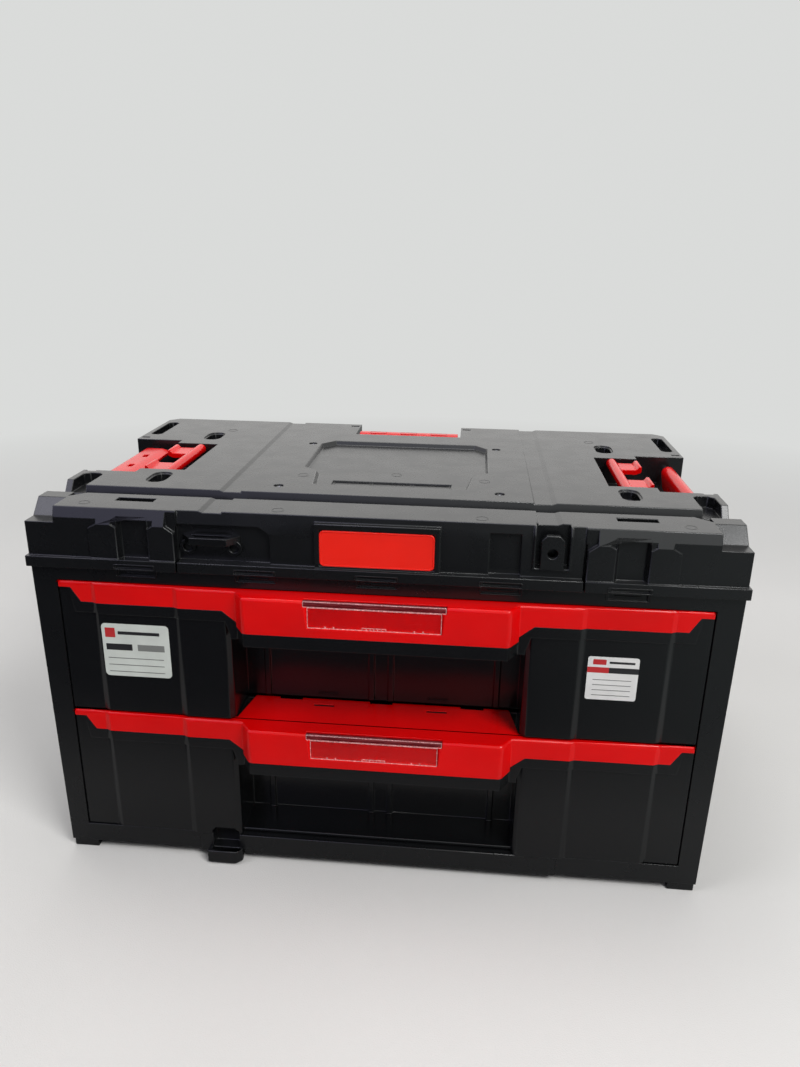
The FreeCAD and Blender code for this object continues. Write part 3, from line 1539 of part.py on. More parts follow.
def build_window(prefix, level):
    """Clear label cover that hangs from a bar and snaps shut at the bottom."""
    face = front - s.grip_reach
    bar_y = face + s.window_bar_radius
    bar_z = s.front_height - s.window_bar_drop
    bar = rod(prefix + "_window_bar", "x", (-s.window_bar_half, bar_y, bar_z),
              s.window_bar_radius, s.window_bar_half * 2)
    pin_half = s.window_bar_half + s.window_pin_grip
    pins = rod(prefix + "_window_pins", "x", (-pin_half, bar_y, bar_z),
               s.window_pin_radius, pin_half * 2)
    pane_low = bar_z - s.window_height
    pane = block(prefix + "_window_pane", (-s.window_half, face, pane_low),
                 (s.window_half, face + s.window_thick, bar_z))
    item = joined(prefix + "_label_window", [bar, pins, pane])
    place(item, z=level)
    return keep(item)


# Tray: open box with a bay for the front, ribs on its floor


def build_tray(prefix, level):
    body = new_body(prefix + "_drawer_tray")
    half = opening_half - s.slide_width
    tray_front = front + s.panel_outer_setback + s.panel_thick
    tray_back = case_back - s.case_wall - s.tray_rear_gap
    bay_side = s.bay_half + s.panel_thick + s.slide_clearance
    bay_back = front + s.bay_depth + s.panel_thick
    plan = [
        (bay_side, bay_back), (bay_side, tray_front), (half, tray_front), (half, tray_back)]
    low = s.tray_floor_rise
    high = s.front_height - s.tray_headroom
    pad(body, "XY_Plane", low, high, [symmetric(plan)], "outside")
    wall = s.tray_wall
    room = [
        (bay_side + wall, bay_back + wall), (bay_side + wall, tray_front + wall),
        (half - wall, tray_front + wall), (half - wall, tray_back - wall)]
    pocket(body, "XY_Plane", low + s.tray_floor, high + s.overrun, [symmetric(room)], "inside")
    pocket(body, "XZ_Plane", tray_front - s.overrun, tray_front + wall + s.overrun,
           mirrored_wires(front_screw_holes()), "screw_holes")
    place(body, z=level)
    return keep(body)


def build_front_screws(prefix, level):
    """Screws from inside the tray into the front panel."""
    screws = []
    wall_face = front + s.panel_outer_setback + s.panel_thick + s.tray_wall
    for side, x in (("left", -front_screw_x), ("right", front_screw_x)):
        for row, z in (("low", s.front_screw_low), ("high", s.front_screw_high)):
            name = "%s_front_screw_%s_%s" % (prefix, side, row)
            head = flat_sided_rod(name + "_head", "y", (x, wall_face, z),
                                  s.front_screw_head_radius, s.front_screw_head,
                                  SCREW_HEAD_SIDES)
            shank = flat_sided_rod(name + "_shank", "y",
                                   (x, wall_face - s.front_screw_length, z),
                                   s.front_screw_radius, s.front_screw_length,
                                   SCREW_SHANK_SIDES)
            screws.append(joined(name, [head, shank]))
    group = group_of(prefix + "_front_screws", screws)
    place(group, z=level)
    return keep(group)


# Telescopic slides: outer member on the case's ribs, middle member, inner member on the tray


def slide_profile(kind, level):
    """Section of one right-hand member, nested with even clearance."""
    skin = s.slide_skin
    gap = s.slide_clearance
    half = s.slide_height / 2
    middle_half = half - skin - gap
    wall = opening_half
    tray_side = opening_half - s.slide_width
    outer_end = tray_side + skin + gap
    middle_end = outer_end + skin + gap
    inner_wall = wall - skin - gap
    if kind == "outer":
        upper = [
            (wall, half), (outer_end, half), (outer_end, half - skin - s.slide_lip),
            (outer_end + skin, half - skin - s.slide_lip), (outer_end + skin, half - skin),
            (wall - skin, half - skin),
        ]
    elif kind == "middle":
        upper = [
            (inner_wall, middle_half), (middle_end, middle_half),
            (middle_end, middle_half - skin - s.slide_lip),
            (middle_end + skin, middle_half - skin - s.slide_lip),
            (middle_end + skin, middle_half - skin), (inner_wall - skin, middle_half - skin),
        ]
    else:
        head = middle_half - skin - gap
        neck = middle_half - skin - s.slide_lip - gap
        head_end = inner_wall - skin - gap
        upper = [
            (tray_side, neck), (middle_end + skin + gap, neck), (middle_end + skin + gap, head),
            (head_end, head), (head_end, neck - skin), (tray_side + skin, neck - skin),
        ]
    return [(x, level + z) for x, z in upper] + [(x, level - z) for x, z in upper[::-1]]


def build_slides(prefix, level):
    """Three nested members on each side of one drawer."""
    start = frame_front + s.frame_depth + s.slide_front
    end = case_back - s.case_wall - s.slide_rear_gap
    inset = s.slide_middle_inset
    ends = {
        "outer": (start, end),
        "middle": (start + inset, end - inset),
        "inner": (start, end),
    }
    for kind, (near, far) in ends.items():
        body = new_body("%s_right_slide_%s" % (prefix, kind))
        pad(body, "XZ_Plane", near, far, [slide_profile(kind, s.slide_rise)])
        place(body, z=level)
        keep(body)
        keep(mirror_of("%s_left_slide_%s" % (prefix, kind), body))


def build_drawer(prefix, level, notched):
    build_tray(prefix, level)
    build_front(prefix, level, notched)
    build_grip(prefix, level)
    build_lip(prefix, level)
    build_window(prefix, level)
    build_front_screws(prefix, level)
    build_slides(prefix, level)


build_housing()
build_base_feet()
build_base_rail()
build_cover()
build_cover_screws()
build_name_plate()
build_lock_loop()
build_lock_keeper()
build_latches()
build_rear_lever()
lower_level = s.base_height + s.drawer_gap / 2
build_drawer("lower", lower_level, True)
build_drawer("upper", lower_level + pitch, False)
doc.recompute()

# Checks before anything is written

for item in doc.Objects:
    if "Invalid" in item.State or "Error" in item.State:
        raise RuntimeError("%s did not build: %s" % (item.Name, item.State))
for item in NODES:
    if item.Shape.isNull() or not item.Shape.isValid() or not item.Shape.Solids:
        raise RuntimeError("%s has no valid solid" % item.Label)

os.makedirs("parts", exist_ok=True)
for item in NODES:
    item.Shape.exportStep(os.path.join("parts", item.Label + ".step"))
print("wrote %d pieces" % len(NODES))
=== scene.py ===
import json
import math

import bmesh
import bpy
from mathutils import Matrix, Vector


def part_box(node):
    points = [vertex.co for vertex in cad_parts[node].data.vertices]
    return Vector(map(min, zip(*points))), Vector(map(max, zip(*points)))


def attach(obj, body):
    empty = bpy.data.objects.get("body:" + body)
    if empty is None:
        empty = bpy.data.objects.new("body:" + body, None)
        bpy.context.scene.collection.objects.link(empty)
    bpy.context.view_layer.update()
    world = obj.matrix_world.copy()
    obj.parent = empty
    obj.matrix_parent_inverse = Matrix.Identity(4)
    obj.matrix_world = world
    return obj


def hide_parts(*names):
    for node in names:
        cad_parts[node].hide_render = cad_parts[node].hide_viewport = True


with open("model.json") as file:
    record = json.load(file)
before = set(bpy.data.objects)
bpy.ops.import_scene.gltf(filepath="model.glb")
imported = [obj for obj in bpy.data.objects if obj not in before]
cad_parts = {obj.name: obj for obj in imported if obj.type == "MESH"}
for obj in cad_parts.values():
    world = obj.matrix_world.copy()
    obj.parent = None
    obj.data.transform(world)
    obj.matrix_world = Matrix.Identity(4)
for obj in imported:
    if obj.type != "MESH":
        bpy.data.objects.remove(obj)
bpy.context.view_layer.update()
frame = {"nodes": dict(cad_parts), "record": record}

# The photograph's camera

IMAGE_WIDTH = 800
IMAGE_HEIGHT = 1067
FOCAL_PIXELS = 831.9
SENSOR = 36.0
NEAR_CLIP = 0.01
FAR_CLIP = 60
EYE = Vector((0.0697, -0.7730, 0.5375))
YAW = math.radians(4.858)
PITCH = math.radians(19.42)
ROLL = math.radians(0.874)


def linked(name, data):
    """A new object of the scene that shows the data."""
    obj = bpy.data.objects.new(name, data)
    bpy.context.scene.collection.objects.link(obj)
    return obj


def build_camera():
    camera = linked("camera", bpy.data.cameras.new("camera"))
    camera.data.sensor_fit = "AUTO"
    camera.data.sensor_width = SENSOR
    camera.data.lens = FOCAL_PIXELS / max(IMAGE_WIDTH, IMAGE_HEIGHT) * SENSOR
    camera.data.clip_start = NEAR_CLIP
    camera.data.clip_end = FAR_CLIP
    forward = Vector((-math.sin(YAW) * math.cos(PITCH), math.cos(YAW) * math.cos(PITCH),
                      -math.sin(PITCH)))
    level = Vector((math.cos(YAW), math.sin(YAW), 0))
    upward = level.cross(forward)
    right = level * math.cos(ROLL) + upward * math.sin(ROLL)
    up = upward * math.cos(ROLL) - level * math.sin(ROLL)
    turn = Matrix((right, up, -forward)).transposed().to_4x4()
    camera.matrix_world = Matrix.Translation(EYE) @ turn
    bpy.context.scene.camera = camera


# Materials. A noise is its scale, in waves per metre, and its detail

MIX_FIRST = 6
MIX_SECOND = 7
MIX_RESULT = 2
BEVEL_SAMPLES = 4
FLAT_DOT = 0.995
EDGE_DOT = 0.90
UPWARD_FROM = 0.60
UPWARD_FULL = 0.95


class Nodes:
    """A material's node tree with short ways to add what the looks here need."""

    def __init__(self, name):
        self.material = bpy.data.materials.new(name)
        self.material.use_nodes = True
        self.tree = self.material.node_tree
        self.tree.nodes.clear()
        self.output = self.tree.nodes.new("ShaderNodeOutputMaterial")
        self.shader = self.tree.nodes.new("ShaderNodeBsdfPrincipled")
        self.link(self.shader.outputs["BSDF"], self.output.inputs["Surface"])
        self.place = self.tree.nodes.new("ShaderNodeTexCoord").outputs["Object"]

    def link(self, start, end):
        self.tree.links.new(start, end)

    def put(self, value, socket):
        """A link from another node, or a plain number or colour."""
        if isinstance(value, bpy.types.NodeSocket):
            self.link(value, socket)
        elif value is not None:
            socket.default_value = value

    def noise(self, scale, detail=2.0, stretch=None):
        node = self.tree.nodes.new("ShaderNodeTexNoise")
        node.inputs["Scale"].default_value = scale
        node.inputs["Detail"].default_value = detail
        place = self.place
        if stretch:
            mapping = self.tree.nodes.new("ShaderNodeMapping")
            mapping.inputs["Scale"].default_value = stretch
            self.link(self.place, mapping.inputs["Vector"])
            place = mapping.outputs["Vector"]
        self.link(place, node.inputs["Vector"])
        return node.outputs["Fac"]

    def span(self, value, low, high, to_low, to_high):
        node = self.tree.nodes.new("ShaderNodeMapRange")
        for socket, number in (("From Min", low), ("From Max", high), ("To Min", to_low),
                               ("To Max", to_high)):
            node.inputs[socket].default_value = number
        self.put(value, node.inputs["Value"])
        return node.outputs["Result"]

    def maths(self, operation, first, second=None):
        node = self.tree.nodes.new("ShaderNodeMath")
        node.operation = operation
        self.put(first, node.inputs[0])
        self.put(second, node.inputs[1])
        return node.outputs["Value"]

    def mix(self, share, first, second):
        node = self.tree.nodes.new("ShaderNodeMix")
        node.data_type = "RGBA"
        self.put(share, node.inputs["Factor"])
        self.put(first, node.inputs[MIX_FIRST])
        self.put(second, node.inputs[MIX_SECOND])
        return node.outputs[MIX_RESULT]

    def rounded(self, radius):
        node = self.tree.nodes.new("ShaderNodeBevel")
        node.samples = BEVEL_SAMPLES
        node.inputs["Radius"].default_value = radius
        return node.outputs["Normal"]

    def edges(self, normal):
        """1 along convex and concave edges, 0 on flat faces."""
        geometry = self.tree.nodes.new("ShaderNodeNewGeometry")
        dot = self.tree.nodes.new("ShaderNodeVectorMath")
        dot.operation = "DOT_PRODUCT"
        self.link(normal, dot.inputs[0])
        self.link(geometry.outputs["Normal"], dot.inputs[1])
        return self.span(dot.outputs["Value"], FLAT_DOT, EDGE_DOT, 0.0, 1.0)

    def parts_of(self, vector):
        split = self.tree.nodes.new("ShaderNodeSeparateXYZ")
        self.link(vector, split.inputs[0])
        return split.outputs

    def facing_up(self):
        geometry = self.tree.nodes.new("ShaderNodeNewGeometry")
        upward = self.parts_of(geometry.outputs["Normal"])["Z"]
        return self.span(upward, UPWARD_FROM, UPWARD_FULL, 0.0, 1.0)

    def bump(self, height, depth, normal=None):
        node = self.tree.nodes.new("ShaderNodeBump")
        node.inputs["Strength"].default_value = 1.0
        node.inputs["Distance"].default_value = depth
        self.link(height, node.inputs["Height"])
        self.put(normal, node.inputs["Normal"])
        return node.outputs["Normal"]

    def finish(self, **sockets):
        for name, value in sockets.items():
            self.put(value, self.shader.inputs[name.replace("_", " ")])
        return self.material


def scaled(colour, share):
    return tuple(part * share for part in colour[:3]) + (1.0,)


DUST = (0.30, 0.29, 0.27, 1.0)
FLOW_NOISE = (14.0, 3.0)
RUB_NOISE = (160.0, 4.0)
GRAIN_NOISE = (2600.0, 1.0)
SMEAR_NOISE = (45.0, 5.0)
SPECK_NOISE = (620.0, 2.0)
HAZE_NOISE = (26.0, 5.0)
FLOW_GAIN = 1.15
RUB_SHARE = 0.12
HAZE_SHARE = 0.15


def moulded(name, colour, worn, rough, grain, edge=0.0008, dust=0.0, gloss=0.5):
    """Moulded plastic: fine grain, faint flow marks, softened edges, dust on top."""
    n = Nodes(name)
    normal = n.rounded(edge)
    edges = n.edges(normal)
    flow = n.span(n.noise(*FLOW_NOISE), 0.35, 0.65, 0.0, 1.0)
    base = n.mix(flow, colour, scaled(colour, FLOW_GAIN))
    rub = n.maths("MULTIPLY", edges, n.span(n.noise(*RUB_NOISE), 0.50, 0.75, 0.0, RUB_SHARE))
    base = n.mix(rub, base, worn)
    fine = n.noise(*GRAIN_NOISE)
    roughness = n.span(n.noise(*SMEAR_NOISE), 0.3, 0.7, rough - 0.02, rough + 0.03)
    if dust:
        specks = n.span(n.noise(*SPECK_NOISE), 0.76, 0.80, 0.0, 1.0)
        haze = n.span(n.noise(*HAZE_NOISE), 0.4, 0.8, 0.0, HAZE_SHARE)
        lying = n.maths("MULTIPLY", n.facing_up(),
                        n.maths("MULTIPLY", n.maths("MAXIMUM", specks, haze), dust))
        base = n.mix(lying, base, DUST)
    return n.finish(Base_Color=base, Roughness=roughness, Specular_IOR_Level=gloss,
                    Normal=n.bump(fine, grain, normal))


CLEAR_IOR = 1.49
SCRATCH_NOISE = (90.0, 6.0)
SCRATCH_STRETCH = (1.0, 1.0, 14.0)
SCRATCH_DEPTH = 0.00001
PANE_TINTS = ((0.70, 0.68, 0.68, 1.0), (0.76, 0.74, 0.74, 1.0))
RIM_HIGHLIGHT_TINTS = ((0.70, 0.34, 0.34, 1.0), (0.90, 0.62, 0.62, 1.0))
BAR_SHADE_TINTS = ((0.13, 0.002, 0.006, 1.0), (0.26, 0.030, 0.036, 1.0))
STREAK_NOISE = (160.0, 4.0)
STREAK_STRETCH = (0.3, 4.0, 6.0)


def clear_plastic():
    """Clear plastic with fine scratches, tinted grey so that what shows through it is darker."""
    n = Nodes("clear_polymer")
    scratches = n.span(n.noise(*SCRATCH_NOISE, SCRATCH_STRETCH), 0.55, 0.75, 0.0, 1.0)
    roughness = n.span(scratches, 0.0, 1.0, 0.02, 0.12)
    tint = n.mix(n.noise(30.0), *PANE_TINTS)
    return n.finish(Base_Color=tint, Roughness=roughness, Transmission_Weight=1.0,
                    IOR=CLEAR_IOR, Normal=n.bump(scratches, SCRATCH_DEPTH))


def clear_rim_highlight():
    """Cut and moulded edges of clear plastic, with a painted highlight: their pale pink stands
    for the light that such edges gather.
    """
    n = Nodes("clear_edge_painted_highlight")
    tint = n.mix(n.noise(200.0), *RIM_HIGHLIGHT_TINTS)
    return n.finish(Base_Color=tint, Roughness=n.span(n.noise(300.0), 0.3, 0.7, 0.18, 0.35),
                    Transmission_Weight=0.55, IOR=CLEAR_IOR)


def clear_bar_shade():
    """The window's thick clear hinge bar. Its dark red is painted shade: the shaded red from
    around it that shows in the bar.
    """
    n = Nodes("clear_bar_painted_shade")
    streaks = n.noise(*STREAK_NOISE, STREAK_STRETCH)
    tint = n.mix(n.span(streaks, 0.45, 0.62, 0.0, 1.0), *BAR_SHADE_TINTS)
    return n.finish(Base_Color=tint, Roughness=n.span(streaks, 0.3, 0.7, 0.10, 0.22),
                    Transmission_Weight=0.25, IOR=CLEAR_IOR)


STEEL_LINES = (300.0, 4.0)
STEEL_FADE = 0.8
STEEL_LINE_DEPTH = 0.000008


def steel(name, colour, rough, stretch):
    """Rolled or turned steel with fine lines along one axis."""
    n = Nodes(name)
    lines = n.noise(*STEEL_LINES, stretch)
    base = n.mix(n.span(n.noise(20.0), 0.3, 0.7, 0.0, 1.0), colour, scaled(colour, STEEL_FADE))
    return n.finish(Base_Color=base, Metallic=1.0,
                    Roughness=n.span(lines, 0.3, 0.7, rough - 0.06, rough + 0.1),
                    Normal=n.bump(lines, STEEL_LINE_DEPTH))


FADE_NOISE = (60.0, 3.0)
VINYL_NOISE = (240.0, 3.0)
PRINT_FADE = 0.9
PRINT_ROUGH = 0.34
PRINT_DEPTH = 0.00001


def printed(name, colour):
    """Print on a vinyl sticker."""
    n = Nodes(name)
    fade = n.mix(n.span(n.noise(*FADE_NOISE), 0.35, 0.7, 0.0, 1.0), colour,
                 scaled(colour, PRINT_FADE))
    roughness = n.span(n.noise(120.0), 0.3, 0.7, PRINT_ROUGH, PRINT_ROUGH + 0.12)
    return n.finish(Base_Color=fade, Roughness=roughness,
                    Normal=n.bump(n.noise(*VINYL_NOISE), PRINT_DEPTH))


BLACK = (0.0034, 0.0037, 0.0042, 1.0)
COVER_BLACK = (0.0050, 0.0054, 0.0060, 1.0)
FRONT_BLACK = (0.0030, 0.0033, 0.0038, 1.0)
WORN_BLACK = (0.045, 0.045, 0.047, 1.0)
RED = (0.66, 0.0004, 0.0008, 1.0)
WORN_RED = (0.72, 0.020, 0.020, 1.0)
PLATE_RED = (0.80, 0.012, 0.004, 1.0)
WORN_PLATE_RED = (0.80, 0.05, 0.04, 1.0)
ZINC = (0.60, 0.61, 0.62, 1.0)
PIN_GREY = (0.30, 0.30, 0.31, 1.0)
SCREW_GREY = (0.34, 0.34, 0.35, 1.0)
FINISHES = {
    "case_plastic": moulded("case_polymer", BLACK, WORN_BLACK, rough=0.28, grain=0.000010),
    "cover_plastic": moulded("cover_polymer", COVER_BLACK, WORN_BLACK, rough=0.27,
                             grain=0.000006, dust=0.10),
    "black_plastic": moulded("small_part_polymer", BLACK, WORN_BLACK, rough=0.24,
                             grain=0.000008, edge=0.0005),
    "front_plastic": moulded("front_polymer", FRONT_BLACK, WORN_BLACK, rough=0.22,
                             grain=0.000006),
    "tray_plastic": moulded("tray_polymer", BLACK, WORN_BLACK, rough=0.42, grain=0.000020),
    "red_plastic": moulded("red_polymer", RED, WORN_RED, rough=0.20, grain=0.000004,
                           edge=0.0009, gloss=0.28),
    "clear_plastic": clear_plastic(),
    "slide_steel": steel("slide_zinc", ZINC, rough=0.30, stretch=(4.0, 0.05, 4.0)),
    "pin_steel": steel("pin_metal", PIN_GREY, rough=0.34, stretch=(4.0, 0.1, 4.0)),
    "screw_steel": steel("screw_metal", SCREW_GREY, rough=0.26, stretch=(3.0, 3.0, 0.5)),
}


def finish_nodes():
    """Every node of the frame gets the look of its slot."""
    for part in frame["record"]["subparts"]:
        obj = frame["nodes"][part["node"]]
        look = FINISHES[part["material_slot"]]
        if not obj.material_slots:
            obj.data.materials.append(look)
        for slot in obj.material_slots:
            slot.link = "OBJECT"
            slot.material = look


# Mesh helpers

SMALLEST_CORNER = 0.0003


def loose_object(name, shape):
    """The shape as an object, with its faces turned outward."""
    mesh = bpy.data.meshes.new(name)
    bmesh.ops.recalc_face_normals(shape, faces=shape.faces)
    shape.to_mesh(mesh)
    shape.free()
    return linked(name, mesh)


def new_piece(name, shape, looks, body):
    obj = loose_object(name, shape)
    for look in looks:
        obj.data.materials.append(look)
    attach(obj, body)
    return obj


def arc(x, y, radius, start, step, count):
    """Points of an arc; start and step are in degrees."""
    points = []
    for i in range(count):
        angle = math.radians(start + step * i)
        points.append((x + radius * math.cos(angle), y + radius * math.sin(angle)))
    return points


def circle(x, y, radius, count):
    return arc(x, y, radius, 0, 360 / count, count)


def rounded_outline(x0, x1, z0, z1, radius, steps=6):
    """Corners of a rounded rectangle, anticlockwise."""
    points = []
    for x, z, start in ((x1 - radius, z0 + radius, -90), (x1 - radius, z1 - radius, 0),
                        (x0 + radius, z1 - radius, 90), (x0 + radius, z0 + radius, 180)):
        points += arc(x, z, radius, start, 90 / steps, steps + 1)
    return points


def outline_pair(x0, x1, z0, z1, radius, width, steps=3):
    """A rounded rectangle and the one inside it that leaves a line of the width."""
    return (rounded_outline(x0, x1, z0, z1, radius, steps),
            rounded_outline(x0 + width, x1 - width, z0 + width, z1 - width,
                            max(radius - width, SMALLEST_CORNER), steps))



def join_rows(shape, first, second):
    """Faces between two closed rows of points."""
    faces = []
    for i in range(len(first)):
        j = (i + 1) % len(first)
        faces.append(shape.faces.new((first[i], first[j], second[j], second[i])))
    return faces


def slab_xz(shape, outline, near, far, look=0):
    """An outline in X and Z, from the plane y = near to y = far."""
    front, back = ([shape.verts.new((x, y, z)) for x, z in outline] for y in (near, far))
    faces = [shape.faces.new(front), shape.faces.new(back[::-1])]
    faces += join_rows(shape, back, front)
    for face in faces:
        face.material_index = look


def add_box(shape, low, high):
    corners = [shape.verts.new((x, y, z)) for x in (low[0], high[0]) for y in (low[1], high[1])
               for z in (low[2], high[2])]
    for ids in ((0, 1, 3, 2), (4, 6, 7, 5), (0, 4, 5, 1), (2, 3, 7, 6), (0, 2, 6, 4),
                (1, 5, 7, 3)):
        shape.faces.new([corners[i] for i in ids])


def add_frame(shape, outer, inner, base, rise, axis):
    """A raised line between two outlines of equal count; base is its level along axis."""
    def corner(point, level):
        if axis == "y":
            return (point[0], level, point[1])
        return (point[0], point[1], level)
    rows = [[shape.verts.new(corner(point, level)) for point in outline]
            for outline, level in ((outer, base), (outer, base + rise), (inner, base + rise),
                                   (inner, base))]
    for k in range(4):
        join_rows(shape, rows[k], rows[(k + 1) % 4])


# Mouldings with rounded edges

SOFT_EDGES = {
    "base_feet": 0.0010, "base_rail": 0.0007, "lock_loop": 0.0004,
    "lock_keeper": 0.0008, "left_latch_lever": 0.0005, "right_latch_lever": 0.0005,
    "left_claw_bail": 0.0005, "right_claw_bail": 0.0005, "rear_lever": 0.0005,
    "lower_drawer_tray": 0.0006, "upper_drawer_tray": 0.0006,
    "lower_drawer_front": 0.0007, "upper_drawer_front": 0.0007,
    "lower_drawer_lip": 0.0006, "upper_drawer_lip": 0.0006,
}
STRIP = "strip"
STRIP_BEND = math.radians(40)
CURVE_BEND = math.radians(18)
EDGE_BEND = math.radians(25)
FLAT_BEND = math.radians(0.6)
WELD = 2e-6


def body_of(node):
    for body, nodes in frame["record"]["behaviour"]["bodies"].items():
        if node in nodes:
            return body
    raise ValueError(node)


def slot_of(node):
    for part in frame["record"]["subparts"]:
        if part["node"] == node:
            return part["material_slot"]
    raise ValueError(node)


def flatten(shape):
    """Flat faces become whole again."""
    bmesh.ops.dissolve_limit(shape, angle_limit=FLAT_BEND, verts=shape.verts,
                             edges=shape.edges)


def copy_of(node):
    """The node's mesh with its flat faces whole."""
    shape = bmesh.new()
    shape.from_mesh(frame["nodes"][node].data)
    shape.faces.layers.int.new(STRIP)
    bmesh.ops.remove_doubles(shape, verts=shape.verts, dist=WELD)
    flatten(shape)
    return shape


def round_edges(shape, width, segments=2, chosen=None):
    """Rounds the sharp edges, or the chosen ones, and marks the new strips."""
    edges = [edge for edge in shape.edges
             if len(edge.link_faces) == 2 and edge.calc_face_angle(0) > EDGE_BEND
             and (chosen is None or chosen(edge))]
    made = bmesh.ops.bevel(shape, geom=edges, offset=width, offset_type="OFFSET",
                           segments=segments, profile=0.5, affect="EDGES",
                           clamp_overlap=False, loop_slide=True)
    strip = shape.faces.layers.int[STRIP]
    for face in made["faces"]:
        face[strip] = 1


def shade(shape):
    """Curves and rounded strips smooth, flat faces flat up to the strips' borders."""
    strip = shape.faces.layers.int[STRIP]
    for face in shape.faces:
        face.smooth = True
    for edge in shape.edges:
        if len(edge.link_faces) != 2:
            continue
        a, b = (face[strip] for face in edge.link_faces)
        bend = STRIP_BEND if a and b else CURVE_BEND
        edge.smooth = a == b and edge.calc_face_angle(0) < bend


def stand_in(node, shape):
    """A finer shape that stands for the node, with the look of its slot."""
    slot_name = slot_of(node)
    shade(shape)
    obj = new_piece(node + "_moulding", shape, [FINISHES[slot_name]], body_of(node))
    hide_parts(node)
    return obj


def build_soft_mouldings():
    for node, width in SOFT_EDGES.items():
        shape = copy_of(node)
        round_edges(shape, width)
        stand_in(node, shape)


# Red grips, and black blocks of painted shade in the slots of their trays

GRIP_FRONT_EDGE = 0.0026
GRIP_FRONT_STEPS = 5
GRIP_EDGE = 0.0005
FACE_NEAR = 0.0005
SHOULDER_HEIGHT = 0.012
TOP_NEAR = 0.0001
TOP_LENGTH = 0.004
TOP_REACH = 0.0225
WINDOW_SPACE = 0.0585
SAME_PLACE = 1e-5
SLOT_X = 0.0500
SLOT_HALF = 0.0088
SLOT_BEHIND = 0.0090
SLOT_WIDTH = 0.0030
SLOT_SHADE_ROOM = 0.0001
SLOT_SHADE_FOOT = 0.0024
SLOT_SHADE_TOP = 0.0007


def build_slot_shade(node):
    """Black blocks in the two slots of a grip's tray: painted shade that makes the slots read
    dark.
    """
    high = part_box(node)[1]
    shape = bmesh.new()
    for x in (-SLOT_X, SLOT_X):
        y = high.y - SLOT_BEHIND
        add_box(shape, (x - SLOT_HALF, y - SLOT_WIDTH + SLOT_SHADE_ROOM, high.z - SLOT_SHADE_FOOT),
                (x + SLOT_HALF, y - SLOT_SHADE_ROOM, high.z - SLOT_SHADE_TOP))
    new_piece(node.replace("grip", "tray_slot_shade"), shape, [FINISHES["front_plastic"]],
              body_of(node))


def grip_front_edges(node):
    """Says of an edge whether it is on the grip's face: the shoulders and the top."""
    low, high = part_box(node)

    def chosen(edge):
        a, b = (vert.co for vert in edge.verts)
        if edge.calc_face_angle_signed(0) < EDGE_BEND:
            return False
        if abs(a.x - b.x) < SAME_PLACE and abs(a.y - b.y) < SAME_PLACE:
            return max(a.y, b.y) < low.y + FACE_NEAR and abs(a.z - b.z) > SHOULDER_HEIGHT
        return (min(a.z, b.z) > high.z - TOP_NEAR and abs(a.x - b.x) > TOP_LENGTH
                and max(a.y, b.y) < low.y + TOP_REACH and abs(a.x) > WINDOW_SPACE)

    return chosen


def build_grips():
    """Red grips: a wide radius along the top of the face and down its shoulders."""
    for node in ("lower_drawer_grip", "upper_drawer_grip"):
        shape = copy_of(node)
        # black blocks of painted shade in the tray's two slots
        build_slot_shade(node)
        round_edges(shape, GRIP_FRONT_EDGE, GRIP_FRONT_STEPS, grip_front_edges(node))
        round_edges(shape, GRIP_EDGE)
        stand_in(node, shape)


# The cover, with small pockets of the mould

DECK = 0.3330
COVER_EDGE = 0.0005
POCKET_DEPTH = 0.0022
CUT_OVERRUN = 0.002
# Each pair of pockets: x at the right, y, half width, half depth
POCKET_PAIRS = [
    (0.2798, 0.0820, 0.0040, 0.0020),
    (0.2782, -0.0562, 0.0042, 0.0020),
    (0.0643, 0.1715, 0.0045, 0.0022),
]


def cut_away(shape, tools):
    """The shape less the tools' volume."""
    base = loose_object("cut_base", shape)
    cutter = loose_object("cut_tools", tools)
    cut = base.modifiers.new("cut", "BOOLEAN")
    cut.operation = "DIFFERENCE"
    cut.solver = "EXACT"
    cut.object = cutter
    bpy.context.view_layer.update()
    mesh = bpy.data.meshes.new_from_object(
        base.evaluated_get(bpy.context.evaluated_depsgraph_get()))
    result = bmesh.new()
    result.from_mesh(mesh)
    for obj in (base, cutter):
        old = obj.data
        bpy.data.objects.remove(obj)
        bpy.data.meshes.remove(old)
    bpy.data.meshes.remove(mesh)
    return result


def build_cover():
    tools = bmesh.new()
    for far_x, y, half_x, half_y in POCKET_PAIRS:
        for x in (far_x, -far_x):
            add_box(tools, (x - half_x, y - half_y, DECK - POCKET_DEPTH),
                    (x + half_x, y + half_y, DECK + CUT_OVERRUN))
    shape = cut_away(copy_of("top_cover"), tools)
    flatten(shape)
    round_edges(shape, COVER_EDGE)
    stand_in("top_cover", shape)


# Thin raised lines of the moulds

CLIP_X = (-0.197, -0.098, 0.0, 0.098, 0.197)
CLIP_HALF = 0.0172
LINE_SINK = 0.0003
LINE_RISE = 0.0008
FLANGE_CLIP_Z = (0.2829, 0.2874)
FLANGE_CLIP_CORNER = 0.0012
CASE_CLIP_Z = (0.2745, 0.2815)
CASE_CLIP_CORNER = 0.0016
CASE_LINE = 0.0007
LINE = 0.0006
TRAY_CELLS_X = ((-0.0525, -0.0195), (-0.0175, 0.0175), (0.0195, 0.0525))
TRAY_CELLS_Y = (-0.0628, -0.0464)
TRAY_CELL_CORNER = 0.0008
TRAY_FLOOR = 0.0057
PANEL_DEPTH = 0.004
MARK_LINE = 0.00035
MARK_SINK = 0.0001
MARK_RISE = 0.00022
MARK_POINTS = 24
